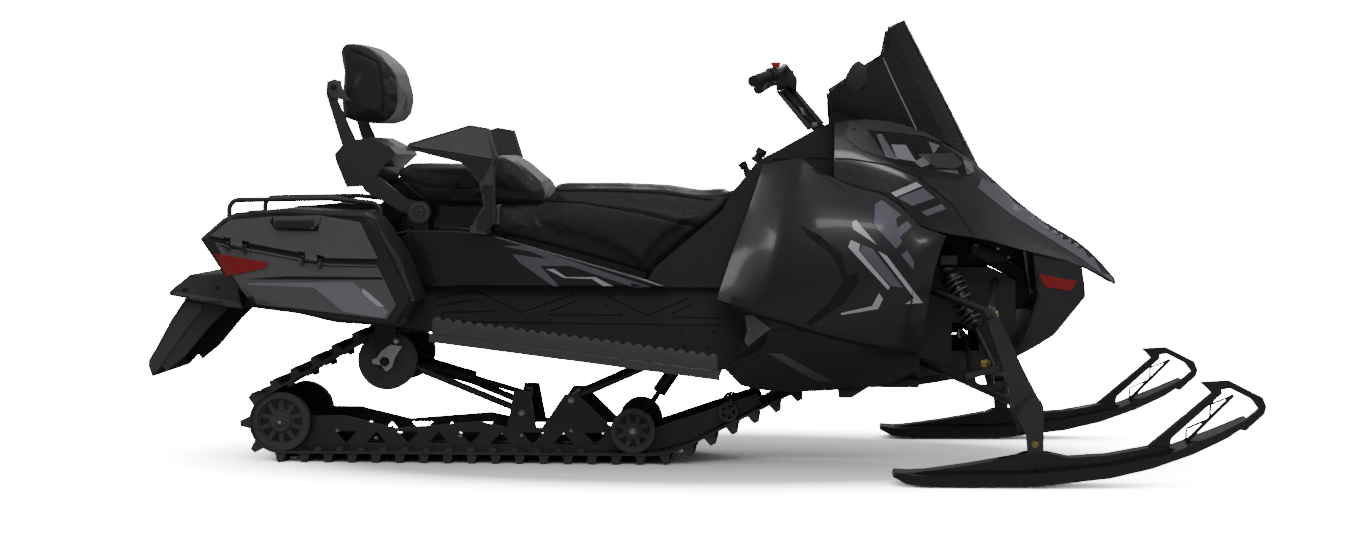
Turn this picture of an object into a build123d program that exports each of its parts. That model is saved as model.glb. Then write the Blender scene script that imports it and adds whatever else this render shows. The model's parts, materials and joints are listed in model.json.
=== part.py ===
from build123d import *
from math import acos, atan2, cos, degrees, hypot, pi, radians, sin, tan
import os

# Two-seat touring snowmobile, in millimetres.
# +X is forward, +Y is the rider's left, +Z is up. The ground is at Z = 0, the centre plane is Y = 0,
# and X = 0 lies half way between the snow flap's hem and the ski loops.

os.makedirs("parts", exist_ok=True)

# ---------------------------------------------------------------- driving sizes
FIT = 0.3  # gap between pieces that seat on each other
SKIN = 0.5  # gap between neighbouring body panels

# Track: one rubber belt round four guide circles.
TRACK_WIDTH = 381.0
BELT_THICKNESS = 6.0
LUG_HEIGHT = 28.0
LUG_BASE = 34.0
LUG_TIP = 18.0
LUG_COUNT = 51

WHEEL_RADIUS = 90.0  # rear and upper idler wheels
WHEEL_WIDTH = 26.0
WHEEL_Y = TRACK_WIDTH / 2 - 22.5
WHEEL_SPOKES = 10
AXLE_RADIUS = 10.0
REAR_WHEEL_X = -1245.0
IDLER_X = -916.0
IDLER_Z = 313.0
RAIL_BEND_X = -120.0
RAIL_BEND_RADIUS = 260.0
SPROCKET_X = 285.0
SPROCKET_Z = 305.0
SPROCKET_RADIUS = 85.0
SPROCKET_WIDTH = 24.0
SPROCKET_TEETH = 8
SPROCKET_Y = 95.0
DRIVE_SHAFT_RADIUS = 14.0

# Skid frame under the tunnel.
RAIL_Y = TRACK_WIDTH / 2 - 62.5
RAIL_THICKNESS = 12.0
RAIL_HEIGHT = 70.0
RAIL_NOSE = 250.0  # length of the rails beyond the bend
RAIL_WINDOWS = 9
RAIL_WINDOW_PITCH = 96.0
BOGIE_RADIUS = 68.0
FRONT_WHEEL_X = -168.0
TIP_WHEEL_X = 120.0
FRONT_ARM_X = -360.0  # front arm's lower pivot, on the rails' peak
FRONT_ARM_Z = 190.0
FRONT_ARM_TOP = (0.0, 350.0)  # x, z of the front arm's pivot in the tunnel
REAR_ARM_LOW = (-512.0, 150.0)  # x, z of the rear arm's pivot between the rails
REAR_SHOCK_LOW = (-512.0, 196.0)  # x, z of the cross rod that carries the rear damper
SKID_ARM_Y = RAIL_Y - 38.0
SKID_TUBE_RADIUS = 12.0
SKID_ROD_RADIUS = 9.0
TIP_WHEEL_RADIUS = 30.0
TIP_WHEEL_WIDTH = 18.0
TIP_WHEEL_Y = TRACK_WIDTH / 2 - 40.5
TIP_AXLE_RADIUS = 8.0
BOGIE_WIDTH = 22.0

# Tunnel and boards.
TUNNEL_SIDE_GAP = 14.0  # track edge to tunnel wall
TUNNEL_WALL = 4.0
TUNNEL_REAR_X = -1440.0
TUNNEL_FRONT_X = 430.0
TUNNEL_STEP_X = -740.0  # the top plate rises behind this
CONSOLE_FRONT_X = 434.0
TUNNEL_TOP_REAR_Z = 562.0
TUNNEL_TOP_Z = 541.0
TUNNEL_LOW_REAR_Z = 489.0
TUNNEL_LOW_FRONT_Z = 292.0
BOARD_REAR_X = -745.0
BOARD_FRONT_X = 104.0
BOARD_WIDTH = 212.0
BOARD_THICKNESS = 4.0
BOARD_EDGE_HEIGHT = 26.0
BOARD_SLOTS = 12

# Saddlebags.
BAG_INNER_Y = 262.0
BAG_OUTER_Y = 470.0
BAG_WALL = 8.0
BAG_EDGE = 10.0  # chamfer round the outer face
BAG_DOOR_THICKNESS = 13.0
BAG_DOOR_LAP = 14.0  # door overlaps the opening's rim by this much
DOOR_HINGE_RADIUS = 7.0
DOOR_PIN_RADIUS = 3.0
BAG_BRACKET_X = (-1230.0, -880.0)  # ties from the tunnel's side to the bag
BAG_BRACKET_Z = (510.0, 530.0)

# Front suspension and skis.
SKI_Y = 540.0
SKI_WIDTH = 150.0
SKI_PIN = (1007.0, 60.0)  # x, z of the pin through the ski's saddle
SKI_PIN_RADIUS = 6.0
LEG_HALF = 18.0
KINGPIN_Y = 440.0
KINGPIN_TOP = (881.0, 485.0)  # x, z of the upper arm's eye
KINGPIN_LOW = (956.0, 222.0)  # x, z of the lower arm's eye
KINGPIN_RADIUS = 8.0
EYE_RADIUS = 20.0
EYE_LENGTH = 26.0
ARM_TUBE_RADIUS = 11.0
FRAME_HALF = 120.0
FRAME_TOP_Z = 600.0
TIE_ROD_RADIUS = 8.0
TIE_EYE_SIZE = 24.0  # across, and along the kingpin
TIE_EYE_GAP = 0.9  # under the steering arm, which swings over the eye
TIE_LINK = (835.0, 388.0)  # x, z of the link between the two rods
TIE_LINK_HALF = 105.0
SHOCK_LOW = (918.0, -322.0, 290.0)  # centre of the shock's lower eye, right side
SHOCK_TOP = (776.0, -212.0, 596.0)
SHOCK_EYE_RADIUS = 14.0
SPRING_RADIUS = 33.0
SPRING_CORE = 24.0
SPRING_COILS = 7
STEER_ARM_LENGTH = 102.0
STEER_ARM_RISE = 105.0  # along the kingpin, above the lower eye

# Steering post and bar.
POST_BASE = (387.0, 1024.0)  # x, z where the post leaves the dash
POST_LEAN = 41.0  # degrees back from vertical
POST_RADIUS = 19.0
POST_DEPTH = 44.0
BAR_RADIUS = 11.0
GRIP_RADIUS = 17.0
GRIP_LENGTH = 125.0
BAR_POINTS = [(200.0, -372.0, 1150.0), (262.0, -180.0, 1182.0), (288.0, -70.0, 1204.0)]  # right half, from its end
BAR_BEND = 40.0

# Seats and rear rest.
SEAT_HALF = 180.0
SEAT_BASE_HALF = 248.0
PASSENGER_HALF = 185.0
REST_HALF = 158.0
REST_POST_Y = 168.0
REST_PIVOT = (-1075.0, 1144.0)

# Body panels.
PANEL_INNER_Y = 252.0
PANEL_OUTER_Y = 440.0
CONSOLE_HALF = 232.0
HOOD_WALL = 8.0

# Seat base: x, z along its sloped top behind the driver.
BASE_SLOPE_LOW = (-585.0, 699.0)
BASE_SLOPE_HIGH = (-700.0, 712.0)
REST_BOX_HALF = 188.0
REST_ARM_THICKNESS = 24.0

# Front frame: the bracket that carries the nose, and the tower over the dampers.
NOSE_REAR_LOW = (980.0, 339.0)
NOSE_REAR_HIGH = (1039.0, 517.0)
TOWER_X = (750.0, 802.0)
TOWER_HALF = 238.0
TOWER_TOP_Z = 640.0

# Things worked out from the sizes above.
BELT_LOW_Z = LUG_HEIGHT + BELT_THICKNESS  # inner face of the belt's ground run
REAR_WHEEL_Z = BELT_LOW_Z + WHEEL_RADIUS
TUNNEL_INNER = TRACK_WIDTH / 2 + TUNNEL_SIDE_GAP
TUNNEL_OUTER = TUNNEL_INNER + TUNNEL_WALL

GUIDES = [  # x, z, radius, counter-clockwise from the rear wheel
    (REAR_WHEEL_X, REAR_WHEEL_Z, WHEEL_RADIUS),
    (RAIL_BEND_X, BELT_LOW_Z + RAIL_BEND_RADIUS, RAIL_BEND_RADIUS),
    (SPROCKET_X, SPROCKET_Z, SPROCKET_RADIUS),
    (IDLER_X, IDLER_Z, WHEEL_RADIUS),
]


# ---------------------------------------------------------------- helpers
def save(shape, name):
    export_step(shape, "parts/" + name + ".step")


def save_pair(shape, name):
    save(shape, name + "_right")
    save(mirror(shape, about=Plane.XZ), name + "_left")


def flat(points, y=0.0):
    return make_face(Polyline(*[(x, y, z) for x, z in points], close=True))


def slab(points, y_low, y_high):
    """A side outline in X and Z, pushed through from y_low to y_high."""
    return extrude(flat(points, y_low), amount=y_high - y_low, dir=(0, 1, 0))


def plan(points, z_low, z_high):
    """A plan outline in X and Y, pushed up from z_low to z_high."""
    face = make_face(Polyline(*[(x, y, z_low) for x, y in points], close=True))
    return extrude(face, amount=z_high - z_low, dir=(0, 0, 1))


def block(x_span, y_span, z_span):
    size = [high - low for low, high in (x_span, y_span, z_span)]
    middle = [(high + low) / 2 for low, high in (x_span, y_span, z_span)]
    return Pos(*middle) * Box(*size)


def rod(start, end, radius):
    start, end = Vector(*start), Vector(*end)
    run = end - start
    return Plane(start, z_dir=run) * Cylinder(radius, run.length, align=(Align.CENTER, Align.CENTER, Align.MIN))


def cross_rod(x, z, radius, y_low, y_high):
    return rod((x, y_low, z), (x, y_high, z), radius)


def bent_tube(points, radius, bend):
    line = FilletPolyline(*points, radius=bend)
    return sweep(Plane(line @ 0, z_dir=line % 0) * Circle(radius), path=line)


def facet(*corners):
    return make_face(Polyline(*corners, close=True)).face()


def patch(a, b, c, d, middle):
    """Two facets of a four-cornered patch, split along the diagonal that bulges away from middle."""
    bulge = [((Vector(*p) + Vector(*q)) / 2 - Vector(*middle)).length for p, q in ((a, c), (b, d))]
    if bulge[0] >= bulge[1]:
        return [facet(a, b, c), facet(a, c, d)]
    return [facet(a, b, d), facet(b, c, d)]


def ring_solid(rings):
    """A solid of flat facets through closed flat rings of equal count."""
    middle = sum((Vector(*point) for ring in rings for point in ring), Vector()) / sum(len(ring) for ring in rings)
    faces = [facet(*rings[0]), facet(*rings[-1])]
    for near, far in zip(rings, rings[1:]):
        for i in range(len(near)):
            faces += patch(near[i - 1], near[i], far[i], far[i - 1], middle)
    return Solid(Shell(faces))


def net_solid(rows, y_back):
    """A solid of flat facets between a net of points, in rows from rear to front, and a flat back."""
    rim = rows[0] + [row[-1] for row in rows[1:-1]] + rows[-1][::-1] + [row[0] for row in rows[-2:0:-1]]
    back = [(x, y_back, z) for x, _, z in rim]
    middle = sum((Vector(*point) for point in back), Vector()) / len(back)
    faces = [facet(*back)]
    for upper, lower in zip(rows, rows[1:]):
        for i in range(len(upper) - 1):
            faces += patch(upper[i], upper[i + 1], lower[i + 1], lower[i], middle)
    for i in range(len(rim)):
        faces.append(facet(rim[i - 1], rim[i], back[i], back[i - 1]))
    return Solid(Shell(faces))


def both(shape):
    return shape + mirror(shape, about=Plane.XZ)


def fused(pieces):
    pieces = list(pieces)
    return pieces[0] + pieces[1:]


def loop_corners(circles, grow):
    """Straight runs and turns of a band round circles (x, z, r), met counter-clockwise."""
    runs = []
    for (x1, z1, r1), (x2, z2, r2) in zip(circles, circles[1:] + circles[:1]):
        a, b = r1 + grow, r2 + grow
        normal = atan2(z2 - z1, x2 - x1) - acos((a - b) / hypot(x2 - x1, z2 - z1))
        out = (cos(normal), sin(normal))
        runs.append(((x1 + a * out[0], z1 + a * out[1]), (x2 + b * out[0], z2 + b * out[1]), normal))
    return runs


def loop_face(circles, grow):
    """The face inside a band round the circles."""
    runs = loop_corners(circles, grow)
    edges = []
    for i, (start, end, normal) in enumerate(runs):
        after = runs[(i + 1) % len(runs)]
        x, z, r = circles[(i + 1) % len(circles)]
        turn = (after[2] - normal) % (2 * pi)
        middle = normal + turn / 2
        top = (x + (r + grow) * cos(middle), z + (r + grow) * sin(middle))
        edges.append(Line((start[0], 0, start[1]), (end[0], 0, end[1])))
        edges.append(ThreePointArc((end[0], 0, end[1]), (top[0], 0, top[1]), (after[0][0], 0, after[0][1])))
    return make_face(edges)


def loop_places(circles, grow, count):
    """Evenly spaced (x, z, outward angle) round the band."""
    runs = loop_corners(circles, grow)
    pieces = []
    for i, (start, end, normal) in enumerate(runs):
        after = runs[(i + 1) % len(runs)]
        x, z, r = circles[(i + 1) % len(circles)]
        pieces.append(("run", start, end, normal, hypot(end[0] - start[0], end[1] - start[1])))
        turn = (after[2] - normal) % (2 * pi)
        pieces.append(("turn", (x, z), r + grow, normal, turn * (r + grow)))
    total = sum(piece[-1] for piece in pieces)
    places = []
    for i in range(count):
        along = total * i / count
        for kind, a, b, normal, length in pieces:
            if along <= length:
                break
            along -= length
        if kind == "run":
            share = along / length
            places.append((a[0] + (b[0] - a[0]) * share, a[1] + (b[1] - a[1]) * share, normal))
        else:
            angle = normal + along / b
            places.append((a[0] + b * cos(angle), a[1] + b * sin(angle), angle))
    return places


def wheel(x, z, radius, y, width, bore, spokes):
    """A spoked idler wheel with a rubber tyre, on an axle along Y."""
    def ring(outer, inner, thick):
        return Cylinder(outer, thick) - Cylinder(inner, thick)
    tyre = ring(radius - FIT, radius * 0.78, width)
    hub = ring(radius * 0.34, bore, width)
    web = ring(radius * 0.8, radius * 0.3, width * 0.3)
    inner, outer, half = radius * 0.42, radius * 0.7, pi / spokes
    corners = [(inner, half * inner * 0.4), (outer, half * outer * 0.66)]
    corners += [(x, -y) for x, y in reversed(corners)]
    window = extrude(make_face(Polyline(*corners, close=True)), amount=width / 2, both=True)
    windows = [Rot(0, 0, 360 * i / spokes) * window for i in range(spokes)]
    body = tyre + hub + (web - windows)
    return Pos(x, y, z) * Rot(90, 0, 0) * body


# ---------------------------------------------------------------- track
def make_track():
    belt = extrude(loop_face(GUIDES, BELT_THICKNESS), amount=TRACK_WIDTH / 2, dir=(0, 1, 0), both=True)
    belt -= extrude(loop_face(GUIDES, 0.0), amount=TRACK_WIDTH, dir=(0, 1, 0), both=True)
    root = 1.0  # the lug reaches this far into the belt
    outline = [(-LUG_BASE / 2, -root), (LUG_BASE / 2, -root), (LUG_TIP / 2, LUG_HEIGHT), (-LUG_TIP / 2, LUG_HEIGHT)]
    edge = TRACK_WIDTH / 2 - 3
    row_kinds = [  # y spans of the paddles in a row
        [(-edge, -edge + 92), (-62, 62), (edge - 92, edge)],
        [(-edge, -edge + 62), (-118, -28), (28, 118), (edge - 62, edge)],
    ]
    lugs = []
    for i, (x, z, angle) in enumerate(loop_places(GUIDES, BELT_THICKNESS, LUG_COUNT)):
        turn = degrees(angle) - 90
        for y_low, y_high in row_kinds[i % len(row_kinds)]:
            paddle = slab(outline, y_low, y_high)
            lugs.append(Pos(x, 0, z) * Rot(0, -turn, 0) * paddle)
    return belt + lugs


# ---------------------------------------------------------------- skid frame and wheels
def front_run():
    """Start and slope of the belt's run up to the sprocket, on its inner face."""
    start, end, _ = loop_corners(GUIDES, 0.0)[1]
    return start, atan2(end[1] - start[1], end[0] - start[0])


def tip_wheel_height():
    """Height at which the tip wheel rests on that run."""
    start, slope = front_run()
    return start[1] + (TIP_WHEEL_X - start[0]) * tan(slope) + (TIP_WHEEL_RADIUS + FIT) / cos(slope)


TIP_WHEEL_Z = tip_wheel_height()


def make_skid_frame():
    start, slope = front_run()
    shoe = BELT_LOW_Z + FIT
    rise = (-sin(slope), cos(slope))
    nose = (start[0] + RAIL_NOSE * cos(slope), start[1] + RAIL_NOSE * sin(slope))
    tip = (nose[0] + rise[0] * (FIT + 4), nose[1] + rise[1] * (FIT + 4))
    outline = [
        (REAR_WHEEL_X + 60, shoe), (RAIL_BEND_X, shoe),
        (start[0] + rise[0] * (FIT + 4), start[1] + rise[1] * (FIT + 4)), tip,
        (tip[0] + rise[0] * 34, tip[1] + rise[1] * 34),
        (RAIL_BEND_X + 10, shoe + RAIL_HEIGHT), (-235, shoe + RAIL_HEIGHT), (FRONT_ARM_X + 20, FRONT_ARM_Z + 18),
        (FRONT_ARM_X - 20, FRONT_ARM_Z + 18), (FRONT_ARM_X - 90, shoe + RAIL_HEIGHT),
        (REAR_ARM_LOW[0] + 45, shoe + RAIL_HEIGHT), (REAR_SHOCK_LOW[0] + 24, REAR_SHOCK_LOW[1] + 20),
        (REAR_SHOCK_LOW[0] - 24, REAR_SHOCK_LOW[1] + 20), (REAR_ARM_LOW[0] - 45, shoe + RAIL_HEIGHT),
        (-640, shoe + RAIL_HEIGHT + 18),
        (-900, shoe + RAIL_HEIGHT - 4), (-1060, shoe + RAIL_HEIGHT + 34),
        (REAR_WHEEL_X + 90, shoe + RAIL_HEIGHT + 34), (REAR_WHEEL_X - 26, REAR_WHEEL_Z + 20),
        (REAR_WHEEL_X - 26, REAR_WHEEL_Z - 20), (REAR_WHEEL_X + 10, REAR_WHEEL_Z - 26),
    ]
    rail = slab(outline, -RAIL_Y - RAIL_THICKNESS / 2, -RAIL_Y + RAIL_THICKNESS / 2)
    low, high = shoe + 18, shoe + RAIL_HEIGHT - 14
    for i in range(RAIL_WINDOWS):
        x = -1090 + RAIL_WINDOW_PITCH * i
        window = [(x, low), (x + 70, low), (x + 35, high)] if i % 2 else [(x, high), (x + 35, low), (x + 70, high)]
        rail -= slab(window, -RAIL_Y - RAIL_THICKNESS, -RAIL_Y + RAIL_THICKNESS)
    frame = both(rail)
    for x, z, radius, reach in [
        (REAR_WHEEL_X, REAR_WHEEL_Z, AXLE_RADIUS, WHEEL_Y + WHEEL_WIDTH / 2 + 6),
        (*REAR_SHOCK_LOW, SKID_ROD_RADIUS, RAIL_Y),
        (FRONT_WHEEL_X, BELT_LOW_Z + BOGIE_RADIUS, AXLE_RADIUS, WHEEL_Y + BOGIE_WIDTH / 2 + 6),
        (TIP_WHEEL_X, TIP_WHEEL_Z, TIP_AXLE_RADIUS, TIP_WHEEL_Y + TIP_WHEEL_WIDTH / 2 + 2),
    ]:
        frame += cross_rod(x, z, radius, -reach, reach)
    return frame


def make_wheels():
    save(both(wheel(REAR_WHEEL_X, REAR_WHEEL_Z, WHEEL_RADIUS, -WHEEL_Y, WHEEL_WIDTH, AXLE_RADIUS + FIT,
                    WHEEL_SPOKES)), "rear_wheels")
    bogies = both(wheel(FRONT_WHEEL_X, BELT_LOW_Z + BOGIE_RADIUS, BOGIE_RADIUS, -WHEEL_Y, BOGIE_WIDTH,
                        AXLE_RADIUS + FIT, 8))
    bogies += both(wheel(TIP_WHEEL_X, TIP_WHEEL_Z, TIP_WHEEL_RADIUS, -TIP_WHEEL_Y, TIP_WHEEL_WIDTH,
                         TIP_AXLE_RADIUS + FIT, 5))
    save(bogies, "bogie_wheels")
    idler = both(wheel(IDLER_X, IDLER_Z, WHEEL_RADIUS, -WHEEL_Y, WHEEL_WIDTH, AXLE_RADIUS, WHEEL_SPOKES))
    idler += cross_rod(IDLER_X, IDLER_Z, AXLE_RADIUS, -TUNNEL_INNER, TUNNEL_INNER)
    save(idler, "upper_idler")


def skid_arm(top, low):
    """Two tubes from a cross tube between the rails up to (x, z) top."""
    inner = RAIL_Y - RAIL_THICKNESS / 2
    arm = cross_rod(*low, SKID_TUBE_RADIUS, -inner, inner)
    for y in (-SKID_ARM_Y, SKID_ARM_Y):
        arm += rod((top[0], y, top[1]), (low[0], y, low[1]), SKID_TUBE_RADIUS - 1)
    return arm


def make_front_skid_arm():
    tube = cross_rod(*FRONT_ARM_TOP, SKID_TUBE_RADIUS, -TUNNEL_INNER, TUNNEL_INNER)
    return skid_arm(FRONT_ARM_TOP, (FRONT_ARM_X, FRONT_ARM_Z)) + tube


def make_rear_skid_arm():
    """Its two sleeves turn on the upper idler's axle, either side of the damper's eye."""
    arm = skid_arm((IDLER_X, IDLER_Z), REAR_ARM_LOW)
    arm += both(cross_rod(IDLER_X, IDLER_Z, SKID_TUBE_RADIUS + 4, -SKID_ARM_Y - 18, -SKID_ARM_Y + 50))
    return arm - cross_rod(IDLER_X, IDLER_Z, AXLE_RADIUS + FIT, -TUNNEL_INNER, TUNNEL_INNER)


def skid_shock(top, low, eyes):
    """A damper with an eye round each cross tube; eyes are the tubes' radii."""
    a, b = Vector(top[0], 0, top[1]), Vector(low[0], 0, low[1])
    run = (b - a).normalized()
    length = (b - a).length
    body = rod(tuple(a + run * 14), tuple(b - run * 14), 9)
    body += rod(tuple(a + run * 26), tuple(a + run * length * 0.6), 22)
    for (x, z), radius in zip((top, low), eyes):
        body += cross_rod(x, z, radius + 8, -14, 14)
    for (x, z), radius in zip((top, low), eyes):
        body -= cross_rod(x, z, radius + FIT, -15, 15)
    return body


def make_skid_shocks():
    front_axle = (FRONT_WHEEL_X, BELT_LOW_Z + BOGIE_RADIUS)
    rear = skid_shock((IDLER_X, IDLER_Z), REAR_SHOCK_LOW, (AXLE_RADIUS, SKID_ROD_RADIUS))
    front = skid_shock(FRONT_ARM_TOP, front_axle, (SKID_TUBE_RADIUS, AXLE_RADIUS))
    return rear + front


def make_drive():
    shaft = cross_rod(SPROCKET_X, SPROCKET_Z, DRIVE_SHAFT_RADIUS, -TUNNEL_INNER, TUNNEL_INNER)
    root = SPROCKET_RADIUS - 10
    tooth = Pos(root, 0, 0) * Box(16, 16, SPROCKET_WIDTH)
    teeth = [Rot(0, 0, 360 * i / SPROCKET_TEETH) * tooth for i in range(SPROCKET_TEETH)]
    sprocket = (Cylinder(root, SPROCKET_WIDTH) + teeth) & Cylinder(SPROCKET_RADIUS - FIT, SPROCKET_WIDTH)
    for y in (-SPROCKET_Y, SPROCKET_Y):
        shaft += Pos(SPROCKET_X, y, SPROCKET_Z) * Rot(90, 0, 0) * sprocket
    return shaft


# ---------------------------------------------------------------- tunnel and boards
def low_edge_z(x):
    """Height of the tunnel's lower edge, which the boards follow."""
    share = (x - TUNNEL_REAR_X) / (BOARD_FRONT_X - TUNNEL_REAR_X)
    return TUNNEL_LOW_REAR_Z + (TUNNEL_LOW_FRONT_Z - TUNNEL_LOW_REAR_Z) * min(share, 1.0)


def tunnel_top_z(x):
    """Height of the tunnel's top plate behind TUNNEL_STEP_X."""
    share = (x - TUNNEL_STEP_X) / (TUNNEL_REAR_X - TUNNEL_STEP_X)
    return TUNNEL_TOP_Z + (TUNNEL_TOP_REAR_Z - TUNNEL_TOP_Z) * share


def make_tunnel():
    outline = [
        (TUNNEL_REAR_X, TUNNEL_LOW_REAR_Z), (BOARD_FRONT_X, TUNNEL_LOW_FRONT_Z),
        (TUNNEL_FRONT_X, TUNNEL_LOW_FRONT_Z + 8), (TUNNEL_FRONT_X, TUNNEL_TOP_Z),
        (TUNNEL_STEP_X, TUNNEL_TOP_Z), (TUNNEL_REAR_X, TUNNEL_TOP_REAR_Z),
    ]
    cave = [
        (TUNNEL_REAR_X - 10, TUNNEL_LOW_REAR_Z - 60), (TUNNEL_FRONT_X - TUNNEL_WALL, 150),
        (TUNNEL_FRONT_X - TUNNEL_WALL, TUNNEL_TOP_Z - TUNNEL_WALL),
        (TUNNEL_STEP_X, TUNNEL_TOP_Z - TUNNEL_WALL), (TUNNEL_REAR_X - 10, TUNNEL_TOP_REAR_Z - TUNNEL_WALL),
    ]
    tunnel = slab(outline, -TUNNEL_OUTER, TUNNEL_OUTER) - slab(cave, -TUNNEL_INNER, TUNNEL_INNER)
    rear, front = IDLER_X - 34, IDLER_X + 34
    hanger = slab([
        (rear, low_edge_z(rear) + 5), (rear + 10, IDLER_Z - 14), (rear + 22, IDLER_Z - 24),
        (front - 22, IDLER_Z - 24), (front - 10, IDLER_Z - 14), (front, low_edge_z(front) + 5),
    ], -TUNNEL_OUTER, -TUNNEL_INNER)
    tunnel += both(hanger)
    for x in BAG_BRACKET_X:
        tunnel += both(block((x - 15, x + 15), (FIT - BAG_INNER_Y, 1 - TUNNEL_OUTER), BAG_BRACKET_Z))
    return tunnel


def make_board():
    inner, outer = TUNNEL_OUTER, TUNNEL_OUTER + BOARD_WIDTH
    z_rear, z_front = low_edge_z(BOARD_REAR_X), low_edge_z(BOARD_FRONT_X)
    deck = slab([
        (BOARD_REAR_X, z_rear), (BOARD_FRONT_X, z_front),
        (BOARD_FRONT_X, z_front + BOARD_THICKNESS), (BOARD_REAR_X, z_rear + BOARD_THICKNESS),
    ], -outer, -inner)
    edge = slab([
        (BOARD_REAR_X, z_rear - 10), (BOARD_FRONT_X, z_front - 10),
        (BOARD_FRONT_X, z_front - 10 + BOARD_EDGE_HEIGHT), (BOARD_REAR_X, z_rear - 10 + BOARD_EDGE_HEIGHT),
    ], -outer - 6, -outer + 6)
    pitch = (BOARD_FRONT_X - BOARD_REAR_X - 40) / BOARD_SLOTS
    slots = []
    for i in range(BOARD_SLOTS):
        x = BOARD_REAR_X + 20 + pitch * (i + 0.5)
        z = low_edge_z(x)
        for y in (-outer + 55, -outer + 115, -outer + 170):
            slots.append(block((x - pitch * 0.32, x + pitch * 0.32), (y - 16, y + 16), (z - 12, z + 20)))
    return deck - slots + edge


# ---------------------------------------------------------------- seats
SEAT_FRONT_EDGE = [(140, 836), (104, 772), (-98, 600), (-118, 566)]


def make_seat_base():
    top = [(-118 - SKIN, 566), BASE_SLOPE_LOW, BASE_SLOPE_HIGH, (-828, BASE_SLOPE_HIGH[1]), (-884, 671),
           (-862, TUNNEL_TOP_Z + 6)]
    outline = [(-740, TUNNEL_TOP_Z + FIT), (-48, TUNNEL_TOP_Z + FIT)] + top
    base = slab(outline, -SEAT_BASE_HALF, SEAT_BASE_HALF)
    pedestal = slab([(-820, 705), (-600, 695), (-600, 786), (-726, 786), (-806, 800)], -150, 150)
    return base + pedestal


def make_driver_seat():
    outline = [(-585, 700 + FIT), (-585, 792), (-424, 792), (-414, 842), (-207, 842), (-73, 836), (60, 815)]
    outline += [(x - SKIN, z) for x, z in SEAT_FRONT_EDGE]
    return slab(outline, -SEAT_HALF, SEAT_HALF)


def make_passenger_seat():
    outline = [
        (-889, 878), (-882, 898), (-846, 904), (-657, 900), (-600, 915), (-560, 930), (-520, 910), (-460, 857),
        (-424 - SKIN, 842), (-424 - SKIN, 792 + SKIN), (-590, 792 + SKIN), (-600 + SKIN, 786 + FIT),
        (-726, 786 + FIT), (-806, 800 + FIT),
    ]
    return slab(outline, -PASSENGER_HALF, PASSENGER_HALF)


def base_top_z(x):
    """Height of the seat base's sloped top."""
    (x1, z1), (x2, z2) = BASE_SLOPE_LOW, BASE_SLOPE_HIGH
    return z1 + (z2 - z1) * (x - x1) / (x2 - x1)


def make_armrest():
    y_low, y_high = -320.0, -264.0
    arm = slab([
        (-828, 950), (-822, 971), (-639, 1025), (-587, 1016), (-560, 929), (-572, 905), (-609, 853),
        (-664, 913), (-786, 944),
    ], y_low, y_high)
    blade = slab([(-612, 858), (-571, 905), (-569, 732), (-590, 714), (-640, 714), (-599, 787)], y_low, y_high)
    rear, front = -640.0, -592.0
    foot = slab([(rear, base_top_z(rear) + FIT), (front, base_top_z(front) + FIT), (front, 726), (rear, 726)],
                y_low, -200)
    return arm + blade + foot


# ---------------------------------------------------------------- rear rest
def make_rest_frame():
    post = slab([(-1062, 1100), (-1050, 1160), (-1095, 1160), (-1098, 1120), (-1040, 930), (-985, 930)],
                -REST_POST_Y - 4, -REST_POST_Y + 4)
    box = slab([(-1071, 938), (-1039, 975), (-963, 991), (-900, 960), (-882, 938), (-925, 900), (-952, 850),
                (-1034, 838), (-1065, 913)], -REST_BOX_HALF, REST_BOX_HALF)
    outer = REST_BOX_HALF + REST_ARM_THICKNESS
    foot_z = BASE_SLOPE_HIGH[1] + FIT
    arm = slab([(-985, 850), (-932, 870), (-846, 803), (-815, 796), (-784, 766), (-784, foot_z), (-826, foot_z),
                (-846, 759), (-975, 827)], -outer, -REST_BOX_HALF)
    knob = cross_rod(-804, 765, 33, -outer - 30, -outer)
    return box + both(post) + both(arm) + both(knob)


def make_rest_pad():
    pad = slab([(-1057, 1266), (-1041, 1280), (-981, 1266), (-911, 1209), (-885, 1121), (-893, 1064),
                (-915, 1039), (-1050, 1043), (-1050, 1100), (-1045, 1190)], -REST_HALF, REST_HALF)
    lug = slab([(-1095, 1130), (-1040, 1110), (-1040, 1180), (-1090, 1160)], -REST_HALF + 4, -REST_HALF + 12)
    pin = cross_rod(REST_PIVOT[0], REST_PIVOT[1], 6, -REST_POST_Y + 4 + FIT, -REST_HALF + 10)
    return pad + both(lug) + both(pin)


# ---------------------------------------------------------------- rack, bags, fender, flap
RACK_DECK_Z = 700.0
RACK_REAR_X = -1400.0
RACK_LEG_X = (-1322.0, -935.0)
RACK_TUBE_RADIUS = 8.0
RACK_TUBE_BEND = 30.0
FLAP_WALL = 6.0


def make_rack():
    deck = block((RACK_REAR_X, -905), (-236, 236), (RACK_DECK_Z - 8, RACK_DECK_Z))
    for x, y in [(-1330, -150), (-1330, 150), (-1030, -150), (-1030, 150)]:
        deck -= Pos(x, y, RACK_DECK_Z) * Cylinder(6.5, 40)
    legs = []
    for x in RACK_LEG_X:
        foot = [(x + 12, tunnel_top_z(x + 12) + FIT), (x - 12, tunnel_top_z(x - 12) + FIT)]
        leg = slab(foot + [(x - 12, RACK_DECK_Z - 4), (x + 12, RACK_DECK_Z - 4)], -190, -165)
        legs += [leg, mirror(leg, about=Plane.XZ)]
        legs.append(both(block((x - 15, x + 15), (FIT - BAG_INNER_Y, -230), (RACK_DECK_Z - 8, RACK_DECK_Z))))
    rear, foot = RACK_REAR_X + 15, RACK_DECK_Z - 4
    line = [(rear, foot), (rear, RACK_DECK_Z + 100), (rear + 305, RACK_DECK_Z + 106),
            (rear + 460, RACK_DECK_Z + 90), (rear + 460, foot)]
    rail = bent_tube([(x, -222, z) for x, z in line], RACK_TUBE_RADIUS, RACK_TUBE_BEND)
    return deck + legs + both(rail)


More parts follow.
